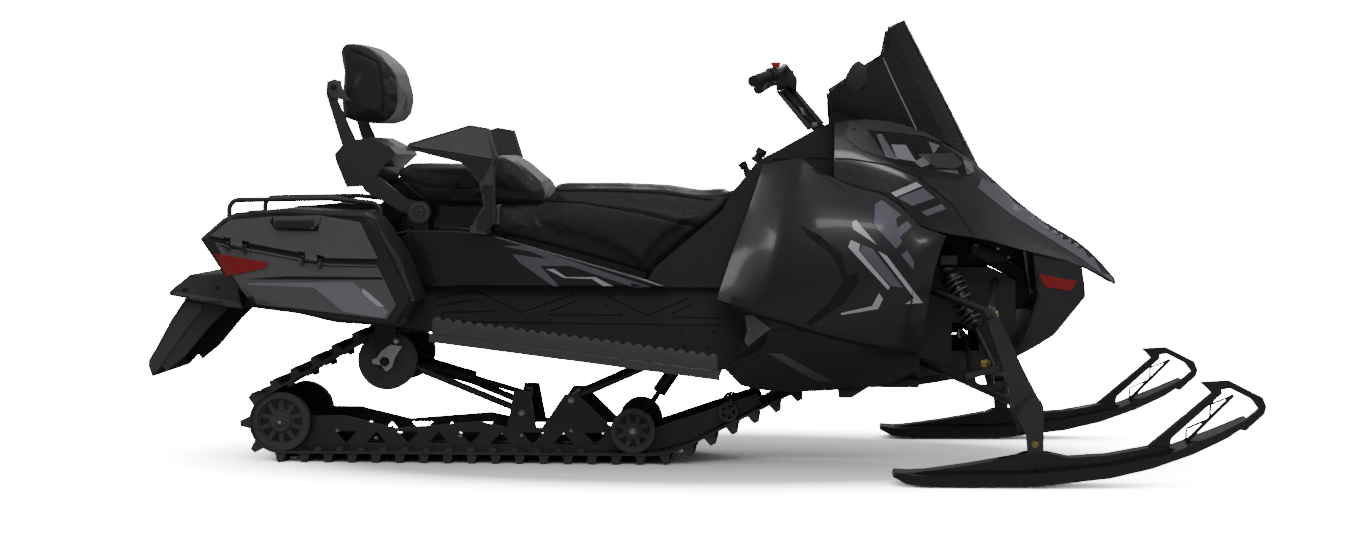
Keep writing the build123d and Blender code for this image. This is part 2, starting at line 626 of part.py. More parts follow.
BAG_OUTLINE = [(-1410, 693), (-1341, 752), (-1303, 769), (-1162, 782), (-929, 769), (-896, 748), (-822, 635),
               (-779, 512), (-834, 437), (-1013, 449), (-1251, 505), (-1338, 586)]
HINGE_REAR = (-1372.0, 690.0)  # x, z on the door's hinge line
HINGE_FRONT = (-1031.0, 626.0)
HINGE_PLACES = (0.22, 0.86)  # shares of that line
DOOR_OUTLINE = [(-1375, 702), (-1314, 748), (-1203, 758), (-1060, 762), (-935, 742), (-884, 636), (-1028, 638)]


def make_bag():
    body = slab(BAG_OUTLINE, -BAG_OUTER_Y, -BAG_INNER_Y)
    body = chamfer(body.faces().sort_by(Axis.Y)[0].edges(), BAG_EDGE)
    core = offset(flat(BAG_OUTLINE, -BAG_OUTER_Y + BAG_WALL), -BAG_WALL)
    body -= extrude(core, amount=BAG_OUTER_Y - BAG_INNER_Y - 2 * BAG_WALL, dir=(0, 1, 0))
    mouth = offset(flat(DOOR_OUTLINE, -BAG_OUTER_Y - 1), -BAG_DOOR_LAP)
    body -= extrude(mouth, amount=BAG_WALL + 3, dir=(0, 1, 0))
    return body


def hinge_point(share):
    return tuple(a + (b - a) * share for a, b in zip(HINGE_REAR, HINGE_FRONT))


HINGE_Y = -BAG_OUTER_Y - DOOR_HINGE_RADIUS - FIT


def hinge_rod(share_low, share_high, radius):
    (x1, z1), (x2, z2) = hinge_point(share_low), hinge_point(share_high)
    return rod((x1, HINGE_Y, z1), (x2, HINGE_Y, z2), radius)


def make_bag_hinges():
    """The pins and end knuckles that the bag carries for its door."""
    pieces = []
    for middle in HINGE_PLACES:
        pieces.append(hinge_rod(middle - 0.09, middle + 0.09, DOOR_PIN_RADIUS))
        for low, high in ((middle - 0.09, middle - 0.06), (middle + 0.06, middle + 0.09)):
            pieces.append(hinge_rod(low, high, DOOR_HINGE_RADIUS))
            (x1, z1), (x2, z2) = hinge_point(low), hinge_point(high)
            foot = slab([(x1, z1 - 7), (x2, z2 - 7), (x2, z2 - 20), (x1, z1 - 20)], HINGE_Y - 2, -BAG_OUTER_Y + 2)
            neck = slab([(x1, z1), (x2, z2), (x2, z2 - 20), (x1, z1 - 20)], HINGE_Y - 5, -BAG_OUTER_Y + 1)
            pieces += [foot, neck]
    return pieces


def make_bag_door():
    y_back = -BAG_OUTER_Y - FIT
    door = slab(DOOR_OUTLINE, y_back - BAG_DOOR_THICKNESS, y_back)
    for middle in HINGE_PLACES:
        (x1, z1), (x2, z2) = hinge_point(middle - 0.11), hinge_point(middle + 0.11)
        notch = slab([(x1, z1 - 12), (x2, z2 - 12), (x2, z2 + 16), (x1, z1 + 16)], y_back - 30, y_back + 5)
        door -= notch
    for middle in HINGE_PLACES:
        low, high = middle - 0.05, middle + 0.05
        (x1, z1), (x2, z2) = hinge_point(low), hinge_point(high)
        leaf = slab([(x1, z1), (x2, z2), (x2, z2 + 22), (x1, z1 + 22)], y_back - BAG_DOOR_THICKNESS, HINGE_Y + 1)
        door += [hinge_rod(low, high, DOOR_HINGE_RADIUS), leaf]
        door -= hinge_rod(low - 0.01, high + 0.01, DOOR_PIN_RADIUS + FIT)
    latch = block((-1178, -1068), (y_back - BAG_DOOR_THICKNESS - 9, y_back - BAG_DOOR_THICKNESS + 1), (722, 750))
    return door + latch


def make_tail_lamp():
    """A lens across the deck's rear edge."""
    return block((RACK_REAR_X - 14, RACK_REAR_X - FIT), (-110, 110), (RACK_DECK_Z - 28, RACK_DECK_Z))


def make_fender():
    outline = [(-1360, 560), (-1402, 580), (-1504, 576), (-1566, 527), (-1569, 513), (-1346, 472)]
    body = slab(outline, -240, 240)
    cave = [(-1330, 400), (-1540, 400), (-1540, 515), (-1500, TUNNEL_TOP_REAR_Z + 4), (-1330, TUNNEL_TOP_REAR_Z)]
    body -= slab(cave, -TUNNEL_OUTER - FIT, TUNNEL_OUTER + FIT)
    return body


def make_flap():
    outline = [(-1530, 500), (-1576, 432), (-1623, 347), (-1644, 314), (-1646, 296), (-1634, 261), (-1602, 294),
               (-1590, 277), (-1531, 325), (-1458, 411), (-1394, 474), (-1394, 520), (-1500, 520)]
    cave = [(-1484, 560), (-1524, 500), (-1569, 430), (-1616, 345), (-1637, 312), (-1638, 296), (-1626, 250),
            (-1500, 240), (-1330, 400), (-1330, 560)]
    half = TUNNEL_INNER - FIT
    return slab(outline, -half, half) - slab(cave, -half + FLAP_WALL, half - FLAP_WALL)


# ---------------------------------------------------------------- body panels
def make_console():
    outline = SEAT_FRONT_EDGE[::-1] + [
        (150, 845), (207, 918), (277, 955), (POST_BASE[0] + 2, POST_BASE[1] - 6),
        (CONSOLE_FRONT_X, POST_BASE[1] + 12),
        (CONSOLE_FRONT_X, TUNNEL_TOP_Z + FIT), (-48 + SKIN, TUNNEL_TOP_Z + FIT),
    ]
    body = slab(outline, -CONSOLE_HALF, CONSOLE_HALF)
    lean = radians(POST_LEAN)
    top = (POST_BASE[0] - 60 * sin(lean), 0, POST_BASE[1] + 60 * cos(lean))
    low = (POST_BASE[0] + POST_DEPTH * sin(lean), 0, POST_BASE[1] - POST_DEPTH * cos(lean))
    return body - rod(low, top, POST_RADIUS + FIT)


HOOD_SECTIONS = [  # x, z on the centre plane, then half width and z of the top edge, band, crease and lip
    (CONSOLE_FRONT_X + SKIN, 1046, (150, 1044), (288, 1034), (325, 930), (338, 870)),
    (500, 1056, (150, 1054), (283, 1045), (326, 924), (342, 846)),
    (610, 1051, (142, 1048), (253, 1040), (322, 899), (343, 818)),
    (690, 1022, (127, 1019), (226, 1010), (312, 868), (340, 729)),
    (765, 988, (110, 985), (196, 972), (292, 828), (330, 704)),
    (872, 911, (82, 908), (135, 898), (256, 752), (312, 693)),
    (925, 862, (68, 858), (102, 816), (239, 718), (295, 677)),
    (1045, 756, (62, 752), (110, 725), (186, 668), (240, 645)),
    (1130, 707, (59, 703), (98, 662), (140, 633), (185, 624)),
    (1210, 662, (55, 656), (81, 614), (95, 603), (121, 598)),
    (1292, 566, (36, 563), (48, 558), (54, 553), (58, 545)),
]
LAMP_OUTLINE = [(540, 1000), (665, 992), (760, 958), (808, 926), (842, 888), (822, 870), (706, 882), (604, 921)]
LAMP_THICKNESS = 9.0


def hood_ring(section, grow):
    """One section of the hood, its corners moved out by grow."""
    x, centre_z, *corners = section
    half = [(x, -y - grow, z + grow) for y, z in corners[:-1]] + [(x, -corners[-1][0] - grow, corners[-1][1])]
    return [(x, 0, centre_z + grow)] + half + [(x, -y, z) for x, y, z in reversed(half)]


def hood_outer(grow):
    return ring_solid([hood_ring(section, grow) for section in HOOD_SECTIONS])


def hood_inner():
    """The hollow under the hood, open below."""
    rings = []
    for section in HOOD_SECTIONS[:-1]:
        x = min(max(section[0], HOOD_SECTIONS[0][0] + HOOD_WALL), HOOD_SECTIONS[-2][0] - HOOD_WALL)
        ring = hood_ring(section, -HOOD_WALL)
        low = len(ring) // 2
        rings.append([(x, y, z - 2 * HOOD_WALL if i in (low, low + 1) else z) for i, (_, y, z) in enumerate(ring)])
    return ring_solid(rings)


def make_hood():
    return hood_outer(0.0) - hood_inner()


def make_headlamps():
    """Clear lenses that stand on the hood's flanks beside the windshield's foot."""
    layer = hood_outer(LAMP_THICKNESS) - hood_outer(FIT)
    return both(layer & slab(LAMP_OUTLINE, -400, -60))


def make_engine():
    return block((470, 745), (-190, 190), (FRAME_TOP_Z + FIT, 860))


PANEL_NET = [  # corners of the right panel's facets, rear to front, from the top edge down
    [(224, -262, 907), (336, -318, 929), (391, -334, 884), (513, -343, 840), (606, -343, 818), (691, -340, 724),
     (762, -330, 701)],
    [(205, -264, 840), (305, -352, 815), (385, -384, 800), (480, -404, 775), (590, -400, 750), (680, -374, 690),
     (748, -335, 660)],
    [(165, -268, 730), (275, -390, 700), (370, -425, 680), (470, -438, 640), (580, -430, 610), (665, -395, 590),
     (727, -335, 600)],
    [(125, -275, 620), (245, -395, 560), (350, -435, 540), (470, -440, 510), (580, -425, 490), (660, -390, 480),
     (715, -340, 520)],
    [(88, -290, 508), (226, -385, 475), (337, -430, 443), (430, -428, 412), (513, -405, 392), (604, -375, 370),
     (685, -335, 357)],
    [(215, -345, 440), (262, -375, 405), (345, -385, 372), (430, -385, 350), (513, -372, 332), (604, -348, 318),
     (689, -315, 318)],
    [(112, -262, 300), (160, -258, 250), (235, -256, 232), (348, -256, 232), (444, -256, 236), (612, -256, 258),
     (680, -256, 282)],
]


def make_side_panel():
    """Its top edge lies one gap under the hood's lip."""
    top = [(x, y, z - SKIN) for x, y, z in PANEL_NET[0]]
    return net_solid([top] + PANEL_NET[1:], -PANEL_INNER_Y)


FRAME_BELLY = [(TUNNEL_FRONT_X + FIT, 300), (560, 290), (700, 262), (930, 300)]  # the frame's lower edge


def make_belly():
    top = [(x, z - FIT) for x, z in reversed(FRAME_BELLY)]
    wide = slab([(448, 246), (452, 214), (490, 214), (540, 246), (690, 246), (690, 264 - FIT)] + top[2:],
                -PANEL_INNER_Y + SKIN, PANEL_INNER_Y - SKIN)
    narrow = slab([(560, 244), (700, 240), (930, 280)] + top[:3], -FRAME_HALF, FRAME_HALF)
    return wide + narrow


def nose_rear_x(z):
    """Place of the nose's rear face."""
    (x1, z1), (x2, z2) = NOSE_REAR_LOW, NOSE_REAR_HIGH
    return x1 + (x2 - x1) * (z - z1) / (z2 - z1)


def make_front_frame():
    outline = FRAME_BELLY + [
        (985, 420), (985, 560), (900, FRAME_TOP_Z), (CONSOLE_FRONT_X + FIT, FRAME_TOP_Z),
        (CONSOLE_FRONT_X + FIT, TUNNEL_TOP_Z), (TUNNEL_FRONT_X + FIT, TUNNEL_TOP_Z),
    ]
    body = slab(outline, -FRAME_HALF, FRAME_HALF)
    low, high = 470.0, 500.0
    body += slab([(980, low), (nose_rear_x(low) - FIT, low), (nose_rear_x(high) - FIT, high), (980, high)], -60, 60)
    body += block(TOWER_X, (-FRAME_HALF, FRAME_HALF), (FRAME_TOP_Z - 1, TOWER_TOP_Z))
    body += block(TOWER_X, (-TOWER_HALF, TOWER_HALF), (SHOCK_TOP[2] + SHOCK_EYE_RADIUS + FIT, TOWER_TOP_Z))
    body -= block((795, 875), (-FRAME_HALF - 1, FRAME_HALF + 1), (345, 430))
    return body


def hood_low_z(x):
    """Height of the hood's lower edge."""
    for near, far in zip(HOOD_SECTIONS, HOOD_SECTIONS[1:]):
        if x <= far[0]:
            low, high = near[-1][1], far[-1][1]
            return low + (high - low) * (x - near[0]) / (far[0] - near[0])


def make_nose():
    top = [(x, hood_low_z(x) - SKIN) for x in (1021, HOOD_SECTIONS[7][0], HOOD_SECTIONS[8][0], 1178)]
    outline = top + [(1190, 526), (1190, 511), (1092, 400), NOSE_REAR_LOW, NOSE_REAR_HIGH]
    taper = [(960, 236), (1030, 236), (1195, 146), (1195, -146), (1030, -236), (960, -236)]
    return slab(outline, -240, 240) & plan(taper, 300, 700)


# ---------------------------------------------------------------- windshield and lamps
SCREEN_POINTS = {  # x, y, z on the outer face
    "peak": (650, 0, 1352), "tip": (893, 0, 903), "crown": (600, -120, 1322), "knee": (583, -165, 1236),
    "wing": (418, -292, 1130), "heel": (428, -288, 1040), "crease": (690, -222, 1012), "brow": (800, -140, 962),
}
SCREEN_INSET = (-4.0, 3.0, -1.5)
SCREEN_FACETS = [("peak", "crown", "brow", "tip"), ("crown", "knee", "crease", "brow"),
                 ("knee", "wing", "heel", "crease")]


def make_windshield():
    pieces = []
    for names in SCREEN_FACETS:
        outer = [SCREEN_POINTS[name] for name in names]
        inner = [(x + SCREEN_INSET[0], y + SCREEN_INSET[1] * (y < 0), z + SCREEN_INSET[2]) for x, y, z in outer]
        for corners in ((0, 1, 2), (0, 2, 3)):
            tops = [make_face(Polyline(*[ring[i] for i in corners], close=True)) for ring in (outer, inner)]
            pieces.append(loft(tops, ruled=True))
    return both(fused(pieces)) - hood_outer(FIT)


# ---------------------------------------------------------------- front suspension
KING_RUN = Vector(KINGPIN_TOP[0] - KINGPIN_LOW[0], 0, KINGPIN_TOP[1] - KINGPIN_LOW[1])
KING_SPAN = KING_RUN.length
KING_UP = KING_RUN.normalized()
# Local frame on the right kingpin: x forward, y to the left, z up the pin, origin in the lower eye.
KING_PLANE = Plane((KINGPIN_LOW[0], -KINGPIN_Y, KINGPIN_LOW[1]), x_dir=(KING_UP.Z, 0, -KING_UP.X), z_dir=KING_UP)


def king_disc(low, high, radius):
    return KING_PLANE * Pos(0, 0, low) * Cylinder(radius, high - low, align=(Align.CENTER, Align.CENTER, Align.MIN))


def king_point(x, y, z):
    return tuple(KING_PLANE.from_local_coords(Vector(x, y, z)))


def make_arms():
    low_eye = (KINGPIN_LOW[0], -KINGPIN_Y, KINGPIN_LOW[1])
    top_eye = (KINGPIN_TOP[0], -KINGPIN_Y, KINGPIN_TOP[1])
    arms = king_disc(-EYE_LENGTH / 2, EYE_LENGTH / 2, EYE_RADIUS)
    upper = king_disc(KING_SPAN - EYE_LENGTH / 2, KING_SPAN + EYE_LENGTH / 2, EYE_RADIUS)
    for inner in ((690, -FRAME_HALF + 10, 318), (915, -FRAME_HALF + 10, 325)):
        arms += rod(low_eye, inner, ARM_TUBE_RADIUS)
    for inner in ((640, -FRAME_HALF + 10, 560), (925, -FRAME_HALF + 10, 560)):
        upper += rod(top_eye, inner, ARM_TUBE_RADIUS - 1)
    shelf = plan([(862, -335), (940, -335), (925, -300), (850, -300)], 250, 264)
    pad = block((SHOCK_LOW[0] - 13, SHOCK_LOW[0] + 13), (SHOCK_LOW[1] - 12, SHOCK_LOW[1] + 20),
                (256, SHOCK_LOW[2] - SHOCK_EYE_RADIUS - FIT))
    arms += [shelf, pad]
    cut = block((400, 1100), (-FRAME_HALF, 0), (200, 700))
    arms -= [cut, king_disc(-60, 60, KINGPIN_RADIUS + FIT)]
    upper -= [cut, king_disc(KING_SPAN - 60, KING_SPAN + 60, KINGPIN_RADIUS + FIT)]
    return arms, upper


def make_spindle():
    y_in, y_out = -466.0, -500.0
    column = slab([(868, 463), (905, 470), (971, 330), (1024, 228), (1024, 150), (960, 150), (940, 215),
                   (925, 300)], y_out, y_in)
    elbow = slab([(958, 178), (948, 205), (985, 245), (1016, 245), (1024, 228), (1025, 150), (975, 150)],
                 -SKI_Y - LEG_HALF, y_in)
    leg = slab([(975, 180), (1025, 180), (1025, 60), (1012, 44), (998, 44), (984, 60)],
               -SKI_Y - LEG_HALF, -SKI_Y + LEG_HALF)
    low_lug = king_disc(-EYE_LENGTH / 2 - 22, -EYE_LENGTH / 2 - FIT, 18)
    low_lug += KING_PLANE * Pos(6, -22, -EYE_LENGTH / 2 - 11.2) * Box(30, 40, 21.6)
    top_lug = king_disc(KING_SPAN - EYE_LENGTH / 2 - 22, KING_SPAN - EYE_LENGTH / 2 - FIT, 16)
    top_lug += KING_PLANE * Pos(4, -22, KING_SPAN - EYE_LENGTH / 2 - 11.2) * Box(24, 40, 21.6)
    pins = [king_disc(-EYE_LENGTH / 2 - 2, EYE_LENGTH / 2 + 8, KINGPIN_RADIUS),
            king_disc(KING_SPAN - EYE_LENGTH / 2 - 2, KING_SPAN + EYE_LENGTH / 2 + 8, KINGPIN_RADIUS)]
    arm = KING_PLANE * Pos(0, 0, STEER_ARM_RISE) * extrude(make_face(Polyline(
        (-STEER_ARM_LENGTH - 14, -12, 0), (-STEER_ARM_LENGTH - 14, 12, 0), (-30, 8, 0), (10, -26, 0),
        (24, -34, 0), (-30, -34, 0), close=True)), amount=18)
    body = column + [elbow, leg, low_lug, top_lug, arm] + pins
    return body - cross_rod(*SKI_PIN, SKI_PIN_RADIUS + FIT, -SKI_Y - 40, -SKI_Y + 40)


def make_ski():
    low = [(600, 28), (640, 9), (742, 7), (1010, 9), (1204, 32), (1319, 60), (1434, 100), (1533, 146), (1596, 186)]
    top = [(1590, 200), (1510, 162), (1357, 98), (1204, 66), (973, 42), (648, 36), (604, 40)]
    plate = slab(low + top, -SKI_WIDTH / 2, SKI_WIDTH / 2)
    half = SKI_WIDTH / 2
    plate &= plan([(590, 44), (680, half), (1330, half), (1500, 62), (1600, 40), (1600, -40), (1500, -62),
                   (1330, -half), (680, -half), (590, -44)], -10, 320)
    rib = slab([(640, 36), (819, 62), (950, 86), (975, 96), (1040, 96), (1096, 84), (1204, 92), (1326, 116),
                (1400, 112), (1360, 96), (1204, 60), (973, 38)], -30, 30)
    keel = slab([(650, 10), (670, 0), (1000, 0), (1110, 12), (1204, 34), (1100, 24), (1000, 12)], -8, 8)
    loop = slab([(1312, 112), (1493, 267), (1462, 298), (1543, 303), (1635, 257), (1646, 230), (1640, 208),
                 (1588, 160), (1560, 168), (1625, 223), (1604, 250), (1543, 281), (1520, 277), (1523, 267),
                 (1383, 139), (1376, 108)], -14, 14)
    ski = plate + rib - block((970, 1045), (-LEG_HALF - FIT, LEG_HALF + FIT), (41, 120))
    ski += [keel, loop, cross_rod(*SKI_PIN, SKI_PIN_RADIUS, -38, 38)]
    return Pos(0, -SKI_Y, 0) * ski


def make_tie_rods():
    top = STEER_ARM_RISE - TIE_EYE_GAP
    eye = KING_PLANE * Pos(-STEER_ARM_LENGTH, 0, top - TIE_EYE_SIZE) * Cylinder(
        TIE_EYE_SIZE / 2, TIE_EYE_SIZE, align=(Align.CENTER, Align.CENTER, Align.MIN))
    x, z = TIE_LINK
    outer = king_point(-STEER_ARM_LENGTH, 0, top - TIE_EYE_SIZE / 2)
    link = cross_rod(x, z, TIE_ROD_RADIUS + 2, -TIE_LINK_HALF, TIE_LINK_HALF)
    return link + both(eye + rod(outer, (x, 5 - TIE_LINK_HALF, z), TIE_ROD_RADIUS))


def make_shock():
    low, top = Vector(*SHOCK_LOW), Vector(*SHOCK_TOP)
    run = (top - low).normalized()
    def at(distance):
        return tuple(low + run * distance)
    length = (top - low).length
    body = rod(at(0), at(length), 10)
    for eye in (low, top):
        body += rod((eye.X - 14, eye.Y, eye.Z), (eye.X + 14, eye.Y, eye.Z), SHOCK_EYE_RADIUS)
    pitch = length * 0.52 / SPRING_COILS
    edge = [(0, 0)] + [corner for i in range(SPRING_COILS)
                       for corner in ((SPRING_CORE, i * pitch), (SPRING_RADIUS, (i + 0.5) * pitch))]
    edge += [(SPRING_CORE, SPRING_COILS * pitch), (0, SPRING_COILS * pitch)]
    half = make_face(Polyline(*[(r, 0, z) for r, z in edge], close=True))
    spring = Plane(at(length * 0.42), z_dir=run) * revolve(half, axis=Axis.Z)
    return body + spring


# ---------------------------------------------------------------- steering
def make_handlebar():
    lean = radians(POST_LEAN)
    up = Vector(-sin(lean), 0, cos(lean))
    base = Vector(POST_BASE[0], 0, POST_BASE[1])
    post = rod(tuple(base - up * (POST_DEPTH - 4)), tuple(base + up * 150), POST_RADIUS)
    post += rod(tuple(base + up * 150), (292, 0, 1196), POST_RADIUS + 4)
    points = BAR_POINTS + [(x, -y, z) for x, y, z in reversed(BAR_POINTS)]
    return post + bent_tube(points, BAR_RADIUS, BAR_BEND)


def make_grips():
    start, end = Vector(*BAR_POINTS[0]), Vector(*BAR_POINTS[1])
    run = (end - start).normalized()
    grip = rod(tuple(start - run * 4), tuple(start + run * GRIP_LENGTH), GRIP_RADIUS)
    grip -= rod(tuple(start), tuple(start + run * (GRIP_LENGTH + 5)), BAR_RADIUS + FIT)
    return both(grip)


# ---------------------------------------------------------------- build everything
def build():
    save(make_track(), "track")
    save(make_skid_frame(), "skid_frame")
    make_wheels()
    save(make_drive(), "drive_shaft")
    save(make_front_skid_arm(), "front_arm")
    save(make_rear_skid_arm(), "rear_arm")
    save(make_skid_shocks(), "skid_shocks")
    save(make_tunnel(), "tunnel")
    save_pair(make_board(), "running_board")
    save(make_seat_base(), "seat_base")
    save(make_driver_seat(), "driver_seat")
    save(make_passenger_seat(), "passenger_seat")
    save_pair(make_armrest(), "armrest")
    save(make_rest_frame(), "rest_frame")
    save(make_rest_pad(), "rest_pad")
    save(make_rack(), "rear_rack")
    save(make_tail_lamp(), "tail_lamp")
    save_pair(make_bag() + make_bag_hinges(), "bag")
    save_pair(make_bag_door(), "bag_door")
    save(make_fender(), "fender")
    save(make_flap(), "snow_flap")
    save(make_console(), "console")
    save(make_hood(), "hood")
    save(make_headlamps(), "headlamps")
    save_pair(make_side_panel(), "side_panel")
    save(make_front_frame(), "front_frame")
    save(make_belly(), "belly_pan")
    save(make_engine(), "engine")
    save(make_nose(), "nose_bumper")
    save(make_windshield(), "windshield")
    lower, upper = make_arms()
    save_pair(lower, "lower_arm")
    save_pair(upper, "upper_arm")
    save_pair(make_spindle(), "spindle")
    save_pair(make_ski(), "ski")
    save(make_tie_rods(), "tie_rods")
    save_pair(make_shock(), "front_shock")
    save(make_handlebar(), "handlebar")
    save(make_grips(), "grips")


build()
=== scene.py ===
import json
import math

import bmesh
import bpy
import numpy as np
from mathutils import Matrix, Vector
from mathutils.bvhtree import BVHTree
from mathutils.geometry import delaunay_2d_cdt

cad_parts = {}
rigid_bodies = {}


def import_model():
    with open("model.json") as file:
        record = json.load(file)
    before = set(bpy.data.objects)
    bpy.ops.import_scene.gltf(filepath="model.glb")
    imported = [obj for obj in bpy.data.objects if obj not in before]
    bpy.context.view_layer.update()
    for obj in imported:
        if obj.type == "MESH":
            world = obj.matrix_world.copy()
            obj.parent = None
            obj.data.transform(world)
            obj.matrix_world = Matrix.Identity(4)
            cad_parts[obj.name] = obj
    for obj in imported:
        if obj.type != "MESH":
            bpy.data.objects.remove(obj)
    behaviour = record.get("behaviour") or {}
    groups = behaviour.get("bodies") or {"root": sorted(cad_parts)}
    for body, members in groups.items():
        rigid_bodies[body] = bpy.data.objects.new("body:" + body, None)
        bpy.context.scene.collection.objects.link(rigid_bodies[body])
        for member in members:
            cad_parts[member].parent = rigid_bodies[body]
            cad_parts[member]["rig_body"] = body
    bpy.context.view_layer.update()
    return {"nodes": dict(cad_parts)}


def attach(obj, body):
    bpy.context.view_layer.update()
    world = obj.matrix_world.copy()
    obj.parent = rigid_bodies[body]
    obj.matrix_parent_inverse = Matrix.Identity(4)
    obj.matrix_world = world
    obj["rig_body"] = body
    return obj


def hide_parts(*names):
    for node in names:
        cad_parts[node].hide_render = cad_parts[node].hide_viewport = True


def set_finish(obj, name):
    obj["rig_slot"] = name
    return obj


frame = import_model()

# ---------------------------------------------------------------- camera
CAMERA_PLACE = Vector((0.344, -6.78, 0.935))
CAMERA_YAW = math.radians(3.12)  # left of straight ahead
CAMERA_TILT = math.radians(3.06)  # down
FOCAL_PIXELS = 2200.0
IMAGE_WIDTH, IMAGE_HEIGHT = 1366.0, 546.0

AHEAD = Vector((
    -math.sin(CAMERA_YAW) * math.cos(CAMERA_TILT),
    math.cos(CAMERA_YAW) * math.cos(CAMERA_TILT),
    -math.sin(CAMERA_TILT),
))
RIGHT = Vector((math.cos(CAMERA_YAW), math.sin(CAMERA_YAW), 0))
UP = RIGHT.cross(AHEAD)


def sight(px, py):
    """Direction from the camera through a pixel of the 1366 x 546 image."""
    across, down = (px - IMAGE_WIDTH / 2) / FOCAL_PIXELS, (py - IMAGE_HEIGHT / 2) / FOCAL_PIXELS
    return AHEAD + RIGHT * across - UP * down


def at(px, py, y):
    """The point behind a pixel at depth y, in millimetres; negative depths are on the near side."""
    ray = sight(px, py)
    return (CAMERA_PLACE + ray * ((y / 1000 - CAMERA_PLACE.y) / ray.y)) * 1000


def side_view(points, y):
    """The (x, z) places, in millimetres, behind pixels at depth y."""
    spots = [at(px, py, y) for px, py in points]
    return [(spot.x, spot.z) for spot in spots]


def put(name, data):
    """A new object in the scene."""
    made = bpy.data.objects.new(name, data)
    bpy.context.scene.collection.objects.link(made)
    return made


def make_camera():
    data = bpy.data.cameras.new("camera")
    data.lens = FOCAL_PIXELS / IMAGE_WIDTH * data.sensor_width
    data.clip_end = 100
    camera = put("camera", data)
    turn = Matrix((RIGHT, UP, -AHEAD)).transposed().to_4x4()
    camera.matrix_world = Matrix.Translation(CAMERA_PLACE) @ turn
    bpy.context.scene.camera = camera


# ---------------------------------------------------------------- materials
MOTTLE_SCALE, SMEAR_SCALE = 7.0, 38.0  # noise in the tone and in the gloss
COAT_ROUGH, SHEEN_ROUGH = 0.08, 0.4


def feed(tree, node, inputs):
    """Gives each input of a node its value, or links it to an output."""
    for socket, value in inputs.items():
        if isinstance(value, bpy.types.NodeSocket):
            tree.links.new(value, node.inputs[socket])
        else:
            node.inputs[socket].default_value = value


def add_node(tree, kind, inputs, **fields):
    """A new shader node with its fields and inputs set."""
    node = tree.nodes.new("ShaderNode" + kind)
    for field, value in fields.items():
        setattr(node, field, value)
    feed(tree, node, inputs)
    return node


def object_space(tree):
    return add_node(tree, "TexCoord", {}).outputs["Object"]


def shader_of(material):
    return material.node_tree.nodes["Principled BSDF"]


def finish(name, colour, rough, metal=0.0, coat=0.0, grain=None, mottle=0.0, cells=False, sheen=0.0,
           alpha=1.0, rough_spread=0.06, dust=0.0):
    """A painted, moulded or woven surface: mottled tone, uneven gloss and fine relief, from object space.
    grain is the relief's strength and its size in metres."""
    material = bpy.data.materials.new(name)
    material.use_nodes = True
    tree = material.node_tree
    place = object_space(tree)
    broad = add_node(tree, "TexNoise", {"Vector": place, "Scale": MOTTLE_SCALE, "Detail": 5.0})
    light = [min(1.0, c * (1 + mottle) + dust) for c in colour]
    dark = [c * (1 - mottle) for c in colour]
    tone = add_node(tree, "Mix", {"A": (*dark, 1), "B": (*light, 1), "Factor": broad.outputs["Fac"]},
                    data_type="RGBA")
    smear = add_node(tree, "TexNoise", {"Vector": place, "Scale": SMEAR_SCALE, "Detail": 6.0})
    spread = add_node(tree, "MapRange", {
        "Value": smear.outputs["Fac"], "From Min": 0.3, "From Max": 0.7,
        "To Min": max(0.03, rough - rough_spread), "To Max": min(1.0, rough + rough_spread)})
    feed(tree, shader_of(material), {
        "Base Color": tone.outputs["Result"], "Roughness": spread.outputs["Result"], "Metallic": metal,
        "Coat Weight": coat, "Coat Roughness": COAT_ROUGH, "Sheen Weight": sheen,
        "Sheen Roughness": SHEEN_ROUGH, "Alpha": alpha})
    if grain:
        strength, size = grain
        if cells:
            relief = add_node(tree, "TexVoronoi", {"Smoothness": 0.6}, feature="SMOOTH_F1")
        else:
            relief = add_node(tree, "TexNoise", {"Detail": 4.0})
        feed(tree, relief, {"Scale": 1.0 / size, "Vector": place})
        bump = add_node(tree, "Bump", {"Strength": strength, "Distance": size * 0.25,
                                       "Height": relief.outputs["Distance" if cells else "Fac"]})
        feed(tree, shader_of(material), {"Normal": bump.outputs["Normal"]})
    return material


